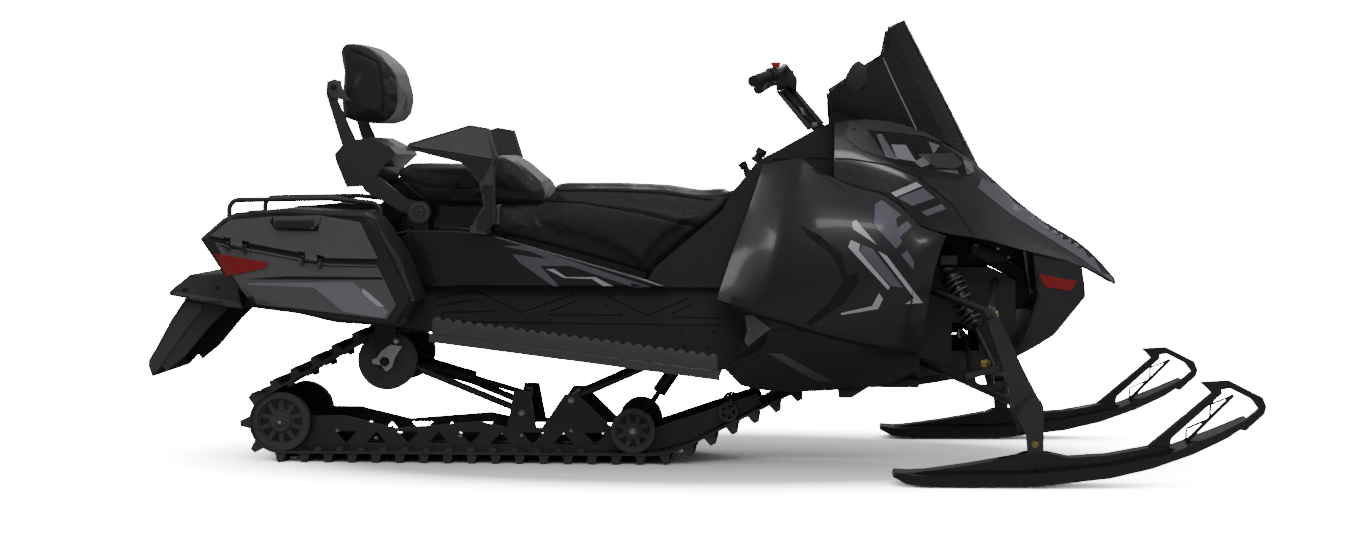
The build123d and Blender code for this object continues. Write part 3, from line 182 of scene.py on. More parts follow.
PAINT = {
    "gloss": finish("gloss_black_panel", (0.010, 0.010, 0.011), 0.22, coat=0.6, grain=(0.03, 0.004),
        mottle=0.1, rough_spread=0.015),
    "charcoal": finish("charcoal_panel", (0.018, 0.018, 0.0195), 0.32, coat=0.3, grain=(0.05, 0.003),
        mottle=0.12, rough_spread=0.02),
    "satin": finish("satin_charcoal_panel", (0.022, 0.022, 0.024), 0.38, coat=0.15, grain=(0.12, 0.0012),
        mottle=0.12, rough_spread=0.03),
    "grained": finish("grained_black_plastic", (0.018, 0.018, 0.019), 0.5, grain=(0.5, 0.0011), cells=True,
        mottle=0.15),
    "grey_plastic": finish("grey_plastic", (0.095, 0.095, 0.098), 0.45, grain=(0.35, 0.0012), cells=True,
        mottle=0.1),
    "deep_grey": finish("deep_grey_plastic", (0.055, 0.055, 0.057), 0.45, grain=(0.35, 0.0012), cells=True,
        mottle=0.12),
    "vinyl": finish("seat_vinyl", (0.014, 0.014, 0.015), 0.5, grain=(0.55, 0.0016), cells=True, sheen=0.25,
        mottle=0.12),
    "vinyl_side": finish("seat_side_vinyl", (0.011, 0.011, 0.012), 0.42, grain=(0.4, 0.0022), cells=True,
        mottle=0.1),
    "rubber": finish("track_rubber", (0.044, 0.043, 0.041), 0.78, grain=(0.6, 0.0016), mottle=0.35,
        dust=0.006),
    "frame": finish("frame_paint", (0.040, 0.040, 0.042), 0.36, metal=0.1, coat=0.2, grain=(0.15, 0.0016),
        mottle=0.15),
    "satin_metal": finish("forged_black", (0.045, 0.045, 0.048), 0.34, metal=0.3, coat=0.3,
        grain=(0.12, 0.0014), mottle=0.15),
    "wheel": finish("wheel_nylon", (0.058, 0.058, 0.060), 0.52, grain=(0.3, 0.0015), mottle=0.25),
    "tunnel": finish("tunnel_coat", (0.024, 0.024, 0.026), 0.55, grain=(0.5, 0.0009), mottle=0.2),
    "board": finish("board_alloy", (0.14, 0.14, 0.15), 0.38, metal=0.8, grain=(0.2, 0.0018), mottle=0.15),
    "steel_grey": finish("grey_anodised", (0.11, 0.11, 0.115), 0.4, metal=0.6, grain=(0.2, 0.0015),
        mottle=0.12),
    "steel": finish("bright_steel", (0.55, 0.55, 0.57), 0.22, metal=1.0, grain=(0.08, 0.001), mottle=0.08),
    "dark_steel": finish("dark_steel", (0.05, 0.05, 0.053), 0.34, metal=0.7, grain=(0.15, 0.0015),
        mottle=0.15),
    "alloy": finish("cast_alloy", (0.30, 0.30, 0.31), 0.5, metal=0.9, grain=(0.6, 0.0025), mottle=0.2),
    "gold": finish("plated_joint", (0.55, 0.40, 0.16), 0.3, metal=1.0, grain=(0.1, 0.001), mottle=0.1),
    "silver": finish("silver_accent", (0.42, 0.43, 0.45), 0.34, metal=0.25, coat=0.3, grain=(0.06, 0.001),
        mottle=0.05),
    "violet": finish("slate_accent", (0.115, 0.115, 0.14), 0.36, metal=0.2, coat=0.3, grain=(0.06, 0.001),
        mottle=0.06),
    "slate": finish("light_slate_accent", (0.20, 0.20, 0.225), 0.36, metal=0.2, coat=0.3, grain=(0.06, 0.001),
        mottle=0.05),
    "ski": finish("ski_plastic", (0.010, 0.010, 0.011), 0.2, coat=0.5, grain=(0.08, 0.006), mottle=0.2),
    "grip": finish("grip_rubber", (0.014, 0.014, 0.014), 0.7, grain=(0.5, 0.0012), mottle=0.2),
    "red": finish("red_plastic", (0.42, 0.012, 0.012), 0.4, coat=0.3, grain=(0.1, 0.001), mottle=0.08),
    "smoke": finish("smoke_screen", (0.010, 0.010, 0.012), 0.06, alpha=0.95, rough_spread=0.02, mottle=0.05),
    "lens": finish("clear_lens", (0.02, 0.02, 0.022), 0.05, alpha=0.16, rough_spread=0.02, mottle=0.04),
    "red_lens": finish("red_lens", (0.26, 0.006, 0.008), 0.18, coat=0.6, grain=(0.7, 0.0045), cells=True,
        mottle=0.12),
    # near black: dark joints, and also painted shade in recesses, creases and under ridges
    "seam": finish("seam_shadow", (0.004, 0.004, 0.004), 0.8, grain=(0.2, 0.001), mottle=0.2),
}

NODE_LOOK = {  # paint of a CAD node, and the radius in millimetres where its edges are rounded in the looks
    "track": ("rubber", 1.0), "skid_frame": ("frame", 1.5), "rear_wheels": ("wheel", 1.0),
    "bogie_wheels": ("wheel", 1.0), "upper_idler": ("wheel", 1.0), "drive_shaft": ("dark_steel", 1.0),
    "front_arm": ("frame", 1.0), "rear_arm": ("frame", 1.0), "skid_shocks": ("dark_steel", 1.0),
    "tunnel": ("tunnel", 1.5), "running_board": ("board", 1.0), "seat_base": ("gloss", 6.0),
    "driver_seat": ("vinyl", 0), "passenger_seat": ("vinyl", 0), "armrest": ("deep_grey", 6.0),
    "rest_frame": ("frame", 4.0), "rest_pad": ("vinyl", 0), "rear_rack": ("frame", 1.5),
    "bag": ("grained", 7.0), "bag_door": ("grey_plastic", 3.0), "fender": ("deep_grey", 4.0),
    "snow_flap": ("rubber", 2.0), "console": ("satin", 6.0), "hood": ("gloss", 4.0),
    "side_panel": ("gloss", 4.0), "front_frame": ("frame", 2.0), "belly_pan": ("grained", 4.0),
    "engine": ("alloy", 3.0), "nose_bumper": ("satin", 5.0), "windshield": ("smoke", 0),
    "lower_arm": ("frame", 1.0), "upper_arm": ("frame", 1.0), "spindle": ("satin_metal", 3.0),
    "ski": ("ski", 2.0), "tie_rods": ("dark_steel", 0.8), "front_shock": ("steel", 1.0),
    "handlebar": ("frame", 1.0), "grips": ("grip", 1.0), "headlamps": ("lens", 0),
    "tail_lamp": ("red_lens", 0),
}


def modify(piece, name, kind, **fields):
    """Adds a modifier with its fields set."""
    modifier = piece.modifiers.new(name, kind)
    for field, value in fields.items():
        setattr(modifier, field, value)


def soften(piece, radius, angle=28.0, segments=2):
    """Rounds a piece's edges by a modifier, so that they catch the light."""
    modify(piece, "weld", "WELD", merge_threshold=0.00002)
    modify(piece, "bevel", "BEVEL", width=radius / 1000, segments=segments, limit_method="ANGLE",
           angle_limit=math.radians(angle))


def paint_frame():
    for name, piece in frame["nodes"].items():
        kind = name.removesuffix("_right").removesuffix("_left")
        paint, radius = NODE_LOOK[kind]
        piece.data.materials.clear()
        piece.data.materials.append(PAINT[paint])
        if radius:
            soften(piece, radius)


# ---------------------------------------------------------------- mesh helpers
def rework(mesh, change):
    """Changes a mesh through a bmesh."""
    build = bmesh.new()
    build.from_mesh(mesh)
    change(build)
    build.to_mesh(mesh)
    build.free()


def declare(piece, body, slot, node):
    """Puts a piece on a body and in a slot; node is the CAD node it stands for, if any."""
    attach(piece, body)
    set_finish(piece, slot)
    if node:
        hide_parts(node)


def add(name, verts, faces, paint, slot, node, body):
    """A piece from corners in metres, on a CAD body."""
    mesh = bpy.data.meshes.new(name)
    mesh.from_pydata([tuple(v) for v in verts], [], faces)
    mesh.validate()
    rework(mesh, lambda build: bmesh.ops.recalc_face_normals(build, faces=build.faces))
    piece = put(name, mesh)
    mesh.materials.append(PAINT[paint])
    declare(piece, body, slot, node)
    return piece


def smooth(piece, angle):
    """Smooth shading that keeps edges sharper than the angle."""

    def shade(build):
        for face in build.faces:
            face.smooth = True
        for edge in build.edges:
            edge.smooth = not (len(edge.link_faces) == 2 and edge.calc_face_angle(0) > math.radians(angle))

    rework(piece.data, shade)
    return piece


def settle(piece):
    """Applies a piece's modifiers to its mesh."""
    graph = bpy.context.evaluated_depsgraph_get()
    made = bpy.data.meshes.new_from_object(piece.evaluated_get(graph))
    old = piece.data
    piece.modifiers.clear()
    piece.data = made
    made.name = old.name


def thicken(piece, thick):
    """Gives a sheet a wall of thick millimetres and applies it."""
    modify(piece, "wall", "SOLIDIFY", thickness=thick / 1000, offset=-1)
    settle(piece)


def mirrored(piece, node=None):
    """The twin of a right-hand piece on the rider's left, without its modifiers."""
    mesh = piece.data.copy()
    mesh.transform(Matrix.Scale(-1, 4, (0, 1, 0)))
    mesh.flip_normals()
    twin = put(piece.name.removesuffix("_right") + "_left", mesh)
    declare(twin, piece["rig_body"].replace("_right", "_left"), piece["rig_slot"], node)
    return twin


SKIN_EDGE = (1.2, 40)  # radius and angle of a shell's rounded edges


def skin(name, rows, paint, slot, node, thick, hard_rows, hard_columns=(), across=True, crease=0.8):
    """A moulded shell through rows of points in millimetres; across mirrors it over the centre plane.
    Row 0 is the one on the centre plane, and rows and columns named hard stay as edges."""
    build = bmesh.new()
    grid = [[build.verts.new(Vector(point) / 1000) for point in row] for row in rows]
    sides = [grid]
    if across:
        twin = [[build.verts.new((v.co.x, -v.co.y, v.co.z)) for v in row] for row in grid[1:]]
        sides.append([grid[0]] + twin)
    for side in sides:
        for upper, lower in zip(side, side[1:]):
            for i in range(len(upper) - 1):
                build.faces.new((upper[i], upper[i + 1], lower[i + 1], lower[i]))
    layer = build.edges.layers.float.new("crease_edge")
    for side in sides:
        ends = [pair for r in hard_rows for pair in zip(side[r], side[r][1:])]
        ends += [(upper[c], lower[c]) for c in hard_columns for upper, lower in zip(side, side[1:])]
        for pair in ends:
            build.edges.get(pair)[layer] = crease
    for edge in build.edges:
        if edge.is_boundary:
            edge[layer] = 1.0
    bmesh.ops.recalc_face_normals(build, faces=build.faces)
    middle = sum((f.calc_center_median() for f in build.faces), Vector()) / len(build.faces)
    if sum(f.normal.dot(f.calc_center_median() - middle) for f in build.faces) < 0:
        bmesh.ops.reverse_faces(build, faces=build.faces)
    mesh = bpy.data.meshes.new(name)
    build.to_mesh(mesh)
    build.free()
    piece = put(name, mesh)
    mesh.materials.append(PAINT[paint])
    modify(piece, "divide", "SUBSURF", levels=2, render_levels=2, boundary_smooth="PRESERVE_CORNERS")
    thicken(piece, thick)
    declare(piece, "chassis", slot, node)
    soften(smooth(piece, 32), *SKIN_EDGE)
    return piece


def prism(name, outline, y_low, y_high, paint, slot, radius, node=None, body="chassis"):
    """A side outline in millimetres pushed from y_low to y_high, its edges rounded."""
    count = len(outline)
    corners = [Vector((x, y, z)) / 1000 for y in (y_low, y_high) for x, z in outline]
    faces = [list(range(count)), list(range(2 * count - 1, count - 1, -1))]
    faces += [[i, (i + 1) % count, count + (i + 1) % count, count + i] for i in range(count)]
    piece = add(name, corners, faces, paint, slot, node, body)
    if radius:
        soften(piece, radius, 20, segments=3)
        settle(piece)
    return smooth(piece, 40)


def round_piece(name, rings, sides, angle, paint, slot, node, body):
    """A closed round piece through rings: centre, radius and two directions across, in millimetres."""
    turns = [2 * math.pi * k / sides for k in range(sides)]
    verts = [(centre + (across * math.cos(a) + up * math.sin(a)) * radius) / 1000
             for centre, radius, across, up in rings for a in turns]
    faces = []
    for first in range(0, len(verts) - sides, sides):
        for k in range(sides):
            a, b = first + k, first + (k + 1) % sides
            faces.append([a, b, b + sides, a + sides])
    faces += [list(range(sides)), list(range(len(verts) - 1, len(verts) - sides - 1, -1))]
    return smooth(add(name, verts, faces, paint, slot, node, body), angle)


def tube(name, points, radius, paint, slot, body="chassis", sides=12, bend=0.0):
    """A round bar along points in millimetres, its corners rounded by bend."""
    places = [Vector(p) for p in points]
    if bend:
        path = [places[0]]
        for before, here, after in zip(places, places[1:], places[2:]):
            back, on = (before - here), (after - here)
            cut = min(bend, back.length * 0.45, on.length * 0.45)
            first, last = here + back.normalized() * cut, here + on.normalized() * cut
            path += [first.lerp(here, t).lerp(here.lerp(last, t), t) for t in (0, 0.2, 0.4, 0.6, 0.8, 1.0)]
        places = path + [places[-1]]
    rings, across = [], None
    for before, here, after in zip(places[:1] + places, places, places[1:] + places[-1:]):
        ahead = (after - before).normalized()
        if across is None:
            across = ahead.orthogonal().normalized()
        across = (across - ahead * across.dot(ahead)).normalized()
        rings.append((here, radius, across, ahead.cross(across)))
    return round_piece(name, rings, sides, 50, paint, slot, None, body)


def axes(start, end):
    """The direction from start to end, and two directions across it."""
    ahead = (end - start).normalized()
    across = ahead.orthogonal().normalized()
    return ahead, across, ahead.cross(across)


def lathe(name, start, end, profile, paint, slot, node=None, body="chassis", sides=32):
    """A turned piece: profile is (millimetres along from start, radius)."""
    start, end = Vector(start), Vector(end)
    ahead, across, up = axes(start, end)
    rings = [(start + ahead * along, max(radius, 0.05), across, up) for along, radius in profile]
    return round_piece(name, rings, sides, 30, paint, slot, node, body)


def coil(name, start, end, radius, wire, turns, paint, slot):
    """A wound spring between two points in millimetres, with its end turns closed."""
    ahead, across, up = axes(start, end)
    points, steps = [], int(turns * 20)
    for i in range(steps + 1):
        share = i / steps
        eased = share - 0.35 / turns * math.sin(2 * math.pi * share)
        angle = 2 * math.pi * turns * share
        points.append(start + ahead * (end - start).length * min(max(eased, 0), 1)
                      + (across * math.cos(angle) + up * math.sin(angle)) * radius)
    return tube(name, points, wire, paint, slot, sides=8)


def bolt(name, place, size, paint="steel", axis=(0, -1, 0)):
    """A hexagon head on a washer, right and left; axis points out of the surface."""
    place = Vector(place)
    mirrored(lathe(name + "_right", place, place + Vector(axis).normalized(), [
        (-1, size * 0.8), (1.2, size * 0.8), (1.5, size * 0.7), (1.5, size * 0.56), (size * 0.6, size * 0.56),
        (size * 0.75, size * 0.42), (size * 0.75, 0)], paint, "steel_bright", sides=6))


def corners_of(mesh):
    """A mesh's corners in metres, a row each."""
    places = np.empty(len(mesh.vertices) * 3)
    mesh.vertices.foreach_get("co", places)
    return places.reshape(-1, 3)


PAD_INSET = 4.0  # millimetres left on each side for the swelling
PAD_PRESSURE, PAD_FRAMES, PAD_FILL = 4.0, 20, 0.8


def soft_pad(name, outline, half, node, body="chassis", narrow=None, voxel=7.0, rounds=12, cap=9.0):
    """A stuffed pad: a side outline pushed across, remeshed, rounded and blown up as cloth, no point moved
    further than cap. narrow is (z, share): above that height the pad closes in to that share of its width."""
    piece = prism(name, outline, -half + PAD_INSET, half - PAD_INSET, "vinyl", "seat_vinyl", 0, node, body)
    modify(piece, "remesh", "REMESH", mode="VOXEL", voxel_size=voxel / 1000)
    settle(piece)
    mesh = piece.data
    if narrow:
        top = max(v.co.z for v in mesh.vertices)
        low = narrow[0] / 1000
        for v in mesh.vertices:
            if v.co.z > low:
                v.co.y *= 1 - (1 - narrow[1]) * ((v.co.z - low) / (top - low)) ** 1.5

    def round_off(build):
        for _ in range(rounds):
            bmesh.ops.smooth_vert(build, verts=build.verts, factor=0.5, use_axis_x=True, use_axis_y=True,
                                  use_axis_z=True)

    rework(mesh, round_off)
    before = corners_of(mesh)
    cloth = piece.modifiers.new("cloth", "CLOTH")
    cloth.settings.use_pressure = True
    cloth.settings.uniform_pressure_force = PAD_PRESSURE
    cloth.settings.effector_weights.gravity = 0
    for number in range(1, PAD_FRAMES + 1):
        bpy.context.scene.frame_set(number)
    settle(piece)
    mesh = piece.data
    move = corners_of(mesh) - before
    length = np.linalg.norm(move, axis=1, keepdims=True)
    move *= np.minimum(1.0, cap / 1000 / np.maximum(length, 1e-9))
    mesh.vertices.foreach_set("co", (before + move).ravel())
    bpy.context.scene.frame_set(1)
    for face in mesh.polygons:
        face.use_smooth = True
    modify(piece, "divide", "SUBSURF", levels=1, render_levels=1)
    settle(piece)
    return piece


GROOVE_WIDTH, GROOVE_DEPTH = 5.0, 3.0  # millimetres


def groove(piece, path):
    """Sinks a sewn channel along a path in millimetres, right and left."""
    mesh = piece.data
    corners = corners_of(mesh)
    normals = np.array([v.normal for v in mesh.vertices])
    near = np.full(len(corners), 1e9)
    for line in (path, [(x, -y, z) for x, y, z in path]):
        for start, end in zip(line, line[1:]):
            a, b = np.array(start) / 1000, np.array(end) / 1000
            run = b - a
            share = np.clip(((corners - a) @ run) / (run @ run), 0, 1)
            near = np.minimum(near, np.linalg.norm(corners - a - share[:, None] * run, axis=1))
    sink = GROOVE_DEPTH / 1000 * np.exp(-(near / (GROOVE_WIDTH / 1000)) ** 2)
    corners -= normals * sink[:, None]
    mesh.vertices.foreach_set("co", corners.ravel())
    mesh.update()


def in_polygon(x, y, outline):
    inside = False
    for (x1, y1), (x2, y2) in zip(outline, outline[1:] + outline[:1]):
        if (y1 > y) != (y2 > y) and x < (x2 - x1) * (y - y1) / (y2 - y1) + x1:
            inside = not inside
    return inside


def plane_mesh(outline, step):
    """Corners and triangles that fill a flat outline, with even inner points step apart."""
    rim = []
    for (x1, y1), (x2, y2) in zip(outline, outline[1:] + outline[:1]):
        parts = max(1, round(math.hypot(x2 - x1, y2 - y1) / step))
        rim += [(x1 + (x2 - x1) * k / parts, y1 + (y2 - y1) * k / parts) for k in range(parts)]
    count, inner = len(rim), []
    xs, ys = [x for x, _ in outline], [y for _, y in outline]
    row, y = 0, min(ys) + step * 0.5
    while y < max(ys):
        x = min(xs) + step * (0.5 if row % 2 else 1.0)
        while x < max(xs):
            if in_polygon(x, y, outline) and all(math.hypot(x - cx, y - cy) > step * 0.55 for cx, cy in rim):
                inner.append((x, y))
            x += step
        y += step * 0.866
        row += 1
    edges = [(i, (i + 1) % count) for i in range(count)]
    found = delaunay_2d_cdt([Vector(c) for c in rim + inner], edges, [list(range(count))], 1, 1e-6)
    return [(v.x, v.y) for v in found[0]], found[2]


# ---------------------------------------------------------------- floor and light
FLOOR_LIFT = 40.0  # brightness of the floor to the camera alone
FLOOR_PAINTED_SHADOW = 1.2  # the same under the machine, darkened as a painted shadow
PAINTED_SHADOW_SIZE = (2.3, 1.1)  # half length and half width of the painted shadow on the floor
BACKDROP = 22  # brightness of the background to the camera alone
SKY, SKY_IN_GLOSS = 0.8, 0.22  # strength of the sky as a light, and in reflections
SKY_STOPS = ((0.0, (0.30, 0.30, 0.31, 1)), (0.9, (1.5, 1.5, 1.54, 1)))
LIGHTS = (  # name, place, aim, size, power
    ("key", (0.9, -4.2, 3.6), (0.4, 0, 0.7), (4.0, 0.5), 42),
    ("front", (5.0, -1.6, 2.6), (0.7, 0, 0.6), (1.6, 0.6), 22),
    ("back", (-5.0, -1.2, 2.6), (-0.8, 0, 0.6), (1.6, 0.6), 18),
    ("far_side", (0.0, 4.6, 3.2), (0, 0, 0.5), (4.0, 0.6), 40),
)


def by_ray(tree, kind, usual, special):
    """A shader's output that is the special one for one kind of ray and the usual one for the rest."""
    rays = add_node(tree, "LightPath", {})
    return add_node(tree, "MixShader", {0: rays.outputs[kind], 1: usual, 2: special}).outputs[0]


def white_floor():
    """Pale floor: the camera sees it near white with soft shadows and a painted shadow under the machine, and
    it throws less light back up.
    """
    material = finish("floor_paint", (0.2, 0.2, 0.2), 0.9, grain=(0.05, 0.01))
    tree = material.node_tree
    squeeze = add_node(tree, "Mapping", {
        "Vector": object_space(tree), "Scale": (1 / PAINTED_SHADOW_SIZE[0], 1 / PAINTED_SHADOW_SIZE[1], 0)})
    painted_shadow_reach = add_node(tree, "VectorMath", {0: squeeze.outputs["Vector"]}, operation="LENGTH")
    # painted shadow: the floor's brightness to the camera falls from far out towards the middle, under the
    # machine
    lift = add_node(tree, "MapRange", {"Value": painted_shadow_reach.outputs["Value"], "From Min": 0.45,
                                       "To Min": FLOOR_PAINTED_SHADOW, "To Max": FLOOR_LIFT},
                    interpolation_type="SMOOTHSTEP")
    pale = add_node(tree, "BsdfDiffuse", {"Color": lift.outputs["Result"]})
    surface = by_ray(tree, "Is Camera Ray", shader_of(material).outputs[0], pale.outputs[0])
    feed(tree, tree.nodes["Material Output"], {"Surface": surface})
    return material


def make_stage():
    mesh = bpy.data.meshes.new("floor")
    rework(mesh, lambda build: bmesh.ops.create_grid(build, x_segments=40, y_segments=40, size=60))
    floor = put("floor", mesh)
    mesh.materials.append(white_floor())

    world = bpy.data.worlds.new("studio")
    bpy.context.scene.world = world
    world.use_nodes = True
    tree = world.node_tree
    place = add_node(tree, "TexCoord", {})
    parts = add_node(tree, "SeparateXYZ", {"Vector": place.outputs["Generated"]})
    ramp = add_node(tree, "ValToRGB", {"Fac": parts.outputs["Z"]})
    for stop, (position, colour) in zip(ramp.color_ramp.elements, SKY_STOPS):
        stop.position, stop.color = position, colour
    light = tree.nodes["Background"]
    feed(tree, light, {"Color": ramp.outputs["Color"], "Strength": SKY})
    in_gloss = add_node(tree, "Background", {"Color": ramp.outputs["Color"], "Strength": SKY_IN_GLOSS})
    backdrop = add_node(tree, "Background", {"Color": (1, 1, 1, 1), "Strength": BACKDROP})
    unseen = by_ray(tree, "Is Glossy Ray", light.outputs[0], in_gloss.outputs[0])
    feed(tree, tree.nodes["World Output"], {
        "Surface": by_ray(tree, "Is Camera Ray", unseen, backdrop.outputs[0])})

    for name, place, aim, size, power in LIGHTS:
        data = bpy.data.lights.new(name, "AREA")
        data.shape = "RECTANGLE"
        data.size, data.size_y = size
        data.energy = power
        lamp = put(name, data)
        lamp.location = place
        lamp.rotation_euler = (Vector(aim) - Vector(place)).to_track_quat("-Z", "Y").to_euler()


# ---------------------------------------------------------------- body shells
HOOD_SECTIONS = [  # x, z on the centre plane, then half width and z of the top edge, band, crease and lip
    (434.5, 1046, (150, 1044), (288, 1034), (325, 930), (338, 870)),
    (500, 1056, (150, 1054), (283, 1045), (326, 924), (342, 846)),
    (610, 1051, (142, 1048), (253, 1040), (322, 899), (343, 818)),
    (690, 1022, (127, 1019), (226, 1010), (312, 868), (340, 729)),
    (765, 988, (110, 985), (196, 972), (292, 828), (330, 704)),
    (872, 911, (82, 908), (135, 898), (256, 752), (312, 693)),
    (925, 862, (68, 858), (102, 816), (239, 718), (295, 677)),
    (1045, 756, (62, 752), (110, 725), (186, 668), (240, 645)),
    (1130, 707, (59, 703), (98, 662), (140, 633), (185, 624)),
    (1210, 662, (55, 656), (81, 614), (95, 603), (121, 598)),
    (1292, 566, (36, 563), (48, 558), (54, 553), (58, 545)),
]
PANEL_NET = [  # corners of the right panel's facets, rear to front, from the top edge down
    [(224, -262, 907), (336, -318, 929), (391, -334, 884), (513, -343, 840), (606, -343, 818),
        (691, -340, 724), (762, -330, 701)],
    [(205, -264, 840), (305, -352, 815), (385, -384, 800), (480, -404, 775), (590, -400, 750),
        (680, -374, 690), (748, -335, 660)],
    [(165, -268, 730), (275, -390, 700), (370, -425, 680), (470, -438, 640), (580, -430, 610),
        (665, -395, 590), (727, -335, 600)],
    [(125, -275, 620), (245, -395, 560), (350, -435, 540), (470, -440, 510), (580, -425, 490),
        (660, -390, 480), (715, -340, 520)],
    [(88, -290, 508), (226, -385, 475), (337, -430, 443), (430, -428, 412), (513, -405, 392),
        (604, -375, 370), (685, -335, 357)],
    [(215, -345, 440), (262, -375, 405), (345, -385, 372), (430, -385, 350), (513, -372, 332),
        (604, -348, 318), (689, -315, 318)],
    [(112, -262, 300), (160, -258, 250), (235, -256, 232), (348, -256, 232), (444, -256, 236),
        (612, -256, 258), (680, -256, 282)],
]


def make_cowl():
    rows = [[(x, 0, z) for x, z, *_ in HOOD_SECTIONS]]
    rows += [[(section[0], -section[k][0], section[k][1]) for section in HOOD_SECTIONS] for k in range(2, 6)]
    skin("hood_shell", rows, "gloss", "panel_black", "hood", 6.0, (1, 2, 3, 4), (3,), crease=0.75)


def make_side_panels():
    panel = skin("side_shell_right", PANEL_NET, "charcoal", "panel_charcoal", "side_panel_right", 8.0, (4,),
                 (1, 5), across=False, crease=0.7)
    soften(mirrored(panel, "side_panel_left"), *SKIN_EDGE)


# ---------------------------------------------------------------- decals and plates laid on a surface
TREES = {}
WHOLE = ((0, 0), 1.0)  # a view is the pixel where an enlarged part of the image starts, and its scale
TUNNEL_VIEW = ((430, 230), 4.978)
BAG_VIEW = ((140, 195), 5.227)
LAMP_VIEW = ((730, 50), 5.807)
REST_VIEW = ((320, 30), 6.533)
LONGEST_SIDE = 0.01  # metres of a triangle's side kept, per pixel of step


def tree_of(name):
    """Where rays meet a piece or CAD node, with its modifiers."""
    if name not in TREES:
        piece = frame["nodes"].get(name) or bpy.data.objects[name]
        TREES[name] = BVHTree.FromObject(piece, bpy.context.evaluated_depsgraph_get())
    return TREES[name]


def cast(px, py, targets):
    """The nearest place behind a pixel on the named pieces, and its normal; None where there is none."""
    ray = sight(px, py).normalized()
    hits = [tree_of(name).ray_cast(CAMERA_PLACE, ray) for name in targets]
    hits = [hit for hit in hits if hit[0] is not None]
    if not hits:
        return None
    place, normal, _, _ = min(hits, key=lambda hit: hit[3])
    return place, normal if normal.dot(ray) < 0 else -normal


def photo_line(points, view):
    """Pixel places noted in an enlarged view of the image."""
    (px, py), scale = view
    return [(px + x / scale, py + y / scale) for x, y in points]


def strip(points, width):
    """The pixel outline of a line of the given width."""
    left, right = [], []
    for i, (x, y) in enumerate(points):
        (x0, y0), (x1, y1) = points[max(i - 1, 0)], points[min(i + 1, len(points) - 1)]
        length = math.hypot(x1 - x0, y1 - y0)
        nx, ny = (y0 - y1) / length * width / 2, (x1 - x0) / length * width / 2
        left.append((x + nx, y + ny))
        right.append((x - nx, y - ny))
    return left + right[::-1]


def laid(name, points, targets, paint, slot, thick, lift=0.3, step=3.0, view=WHOLE, width=None,
         body="chassis"):
    """A thin piece laid on the near side of the named pieces, and its twin on the left. The points, in pixels
    of a view, are its outline, or with a width its middle line."""
    outline = photo_line(points, view)
    corners, faces = plane_mesh(strip(outline, width) if width else outline, step)
    hits = [cast(px, py, targets) for px, py in corners]
    spots = [hit and hit[0] + hit[1] * (lift + thick) / 1000 for hit in hits]
    kept = [face for face in faces if all(spots[i] is not None for i in face)]
    kept = [face for face in kept
            if max((spots[a] - spots[b]).length for a in face for b in face) < LONGEST_SIDE * step]
    used = sorted({i for face in kept for i in face})
    order = {old: new for new, old in enumerate(used)}
    piece = add(name + "_right", [spots[i] for i in used], [[order[i] for i in face] for face in kept], paint,
                slot, None, body)
    if sum((face.center - CAMERA_PLACE).dot(face.normal) for face in piece.data.polygons) > 0:
        piece.data.flip_normals()
    thicken(piece, thick)
    mirrored(smooth(piece, 50))


FRONT = ("hood_shell", "side_shell_right", "nose_bumper", "console")
FRONT_GRAPHICS = [
    ("hood_silver", "silver", [(891, 193), (916, 182), (922, 186), (896, 197)]),
    ("hood_violet", "violet", [(898, 198), (923, 188), (935, 198), (912, 206)]),
    ("hood_violet_thin", "violet", [(921, 212), (942, 204), (946, 209), (927, 216)]),
    ("flank_violet_top", "violet", [(875, 204), (882, 200), (901, 215), (896, 219), (897, 228), (907, 221),
        (912, 226), (900, 237), (902, 242), (896, 249), (874, 225)]),
    ("flank_violet_low", "violet", [(901, 255), (907, 250), (914, 262), (913, 270)]),
    ("flank_silver_top", "silver", [(852, 222), (856, 220), (877, 245), (853, 229)]),
    ("flank_silver_left", "silver", [(851, 240), (860, 244), (859, 251), (890, 287), (888, 290), (848, 247)]),
    ("flank_violet_mid", "violet", [(862, 245), (873, 249), (903, 288), (891, 286), (860, 251)]),
    ("flank_silver_right", "silver", [(878, 251), (887, 256), (915, 293), (923, 303), (905, 304),
        (914, 298)]),
    ("flank_check", "silver", [(841, 313), (872, 306), (879, 293), (883, 299), (878, 309), (841, 315)]),
    ("hood_band", "violet", [(985, 168), (992, 176), (1014, 204), (1086, 245), (1111, 273), (1114, 283),
        (1080, 258), (1010, 214), (978, 188)]),
    ("hood_band_edge", "slate", [(985, 167), (1014, 203), (1086, 244), (1112, 274), (1084, 250),
        (1012, 209)]),
]
DARK_SHAPES = [  # name, width where it is a line, points: dark joints, and painted shade in the flank's notch and crease
    # a near-black sheet on the notch between the flank's facets: painted shade
    ("flank_slash", None, [(800.5, 225.2), (820.5, 235.9), (842, 254.7), (847.3, 276.1), (858, 272),
        (858, 284), (844.7, 302.9), (801.8, 332.3), (799.1, 328.3), (828.6, 302.9), (843.3, 281.4),
        (839.3, 268), (828.6, 252), (807.2, 235.9)]),
    # a dark line along the lower crease of the flank: painted shade
    ("flank_seam", 3.0, [(741, 314), (770, 319), (800, 328), (830, 337), (861, 344), (916, 354)]),
    ("hood_seam", 2.0, [(919, 177), (952, 204), (974, 236)]),
    ("cowl_seam", 1.6, [(772, 160), (800, 158), (850, 159), (888, 165), (922, 178)]),
    ("flank_top_seam", 2.2, [(799, 158), (819, 173), (861, 188), (893, 195), (922, 228), (946, 236)]),
]
FOOT_SHAPES = [  # the toe hold and the facets of the lower panel: name, paint, thickness, outline
    ("toe_guard", "gloss", 2.5, [(771.4, 329.4), (803.3, 329.9), (782.9, 340.9), (767.6, 351.1), (742, 362.6),
        (726, 371), (728, 366), (749.7, 347.2)]),
    ("toe_plate", "alloy", 1.2, [(745.5, 315), (753.5, 315.8), (770.6, 328.6), (748.4, 346.5), (744.5, 340.9),
        (747.6, 331.4)]),
    ("lower_facet", "grey_plastic", 0.8, [(767.6, 352.8), (782.9, 353.8), (830.8, 380.6), (816, 381.2)]),
]
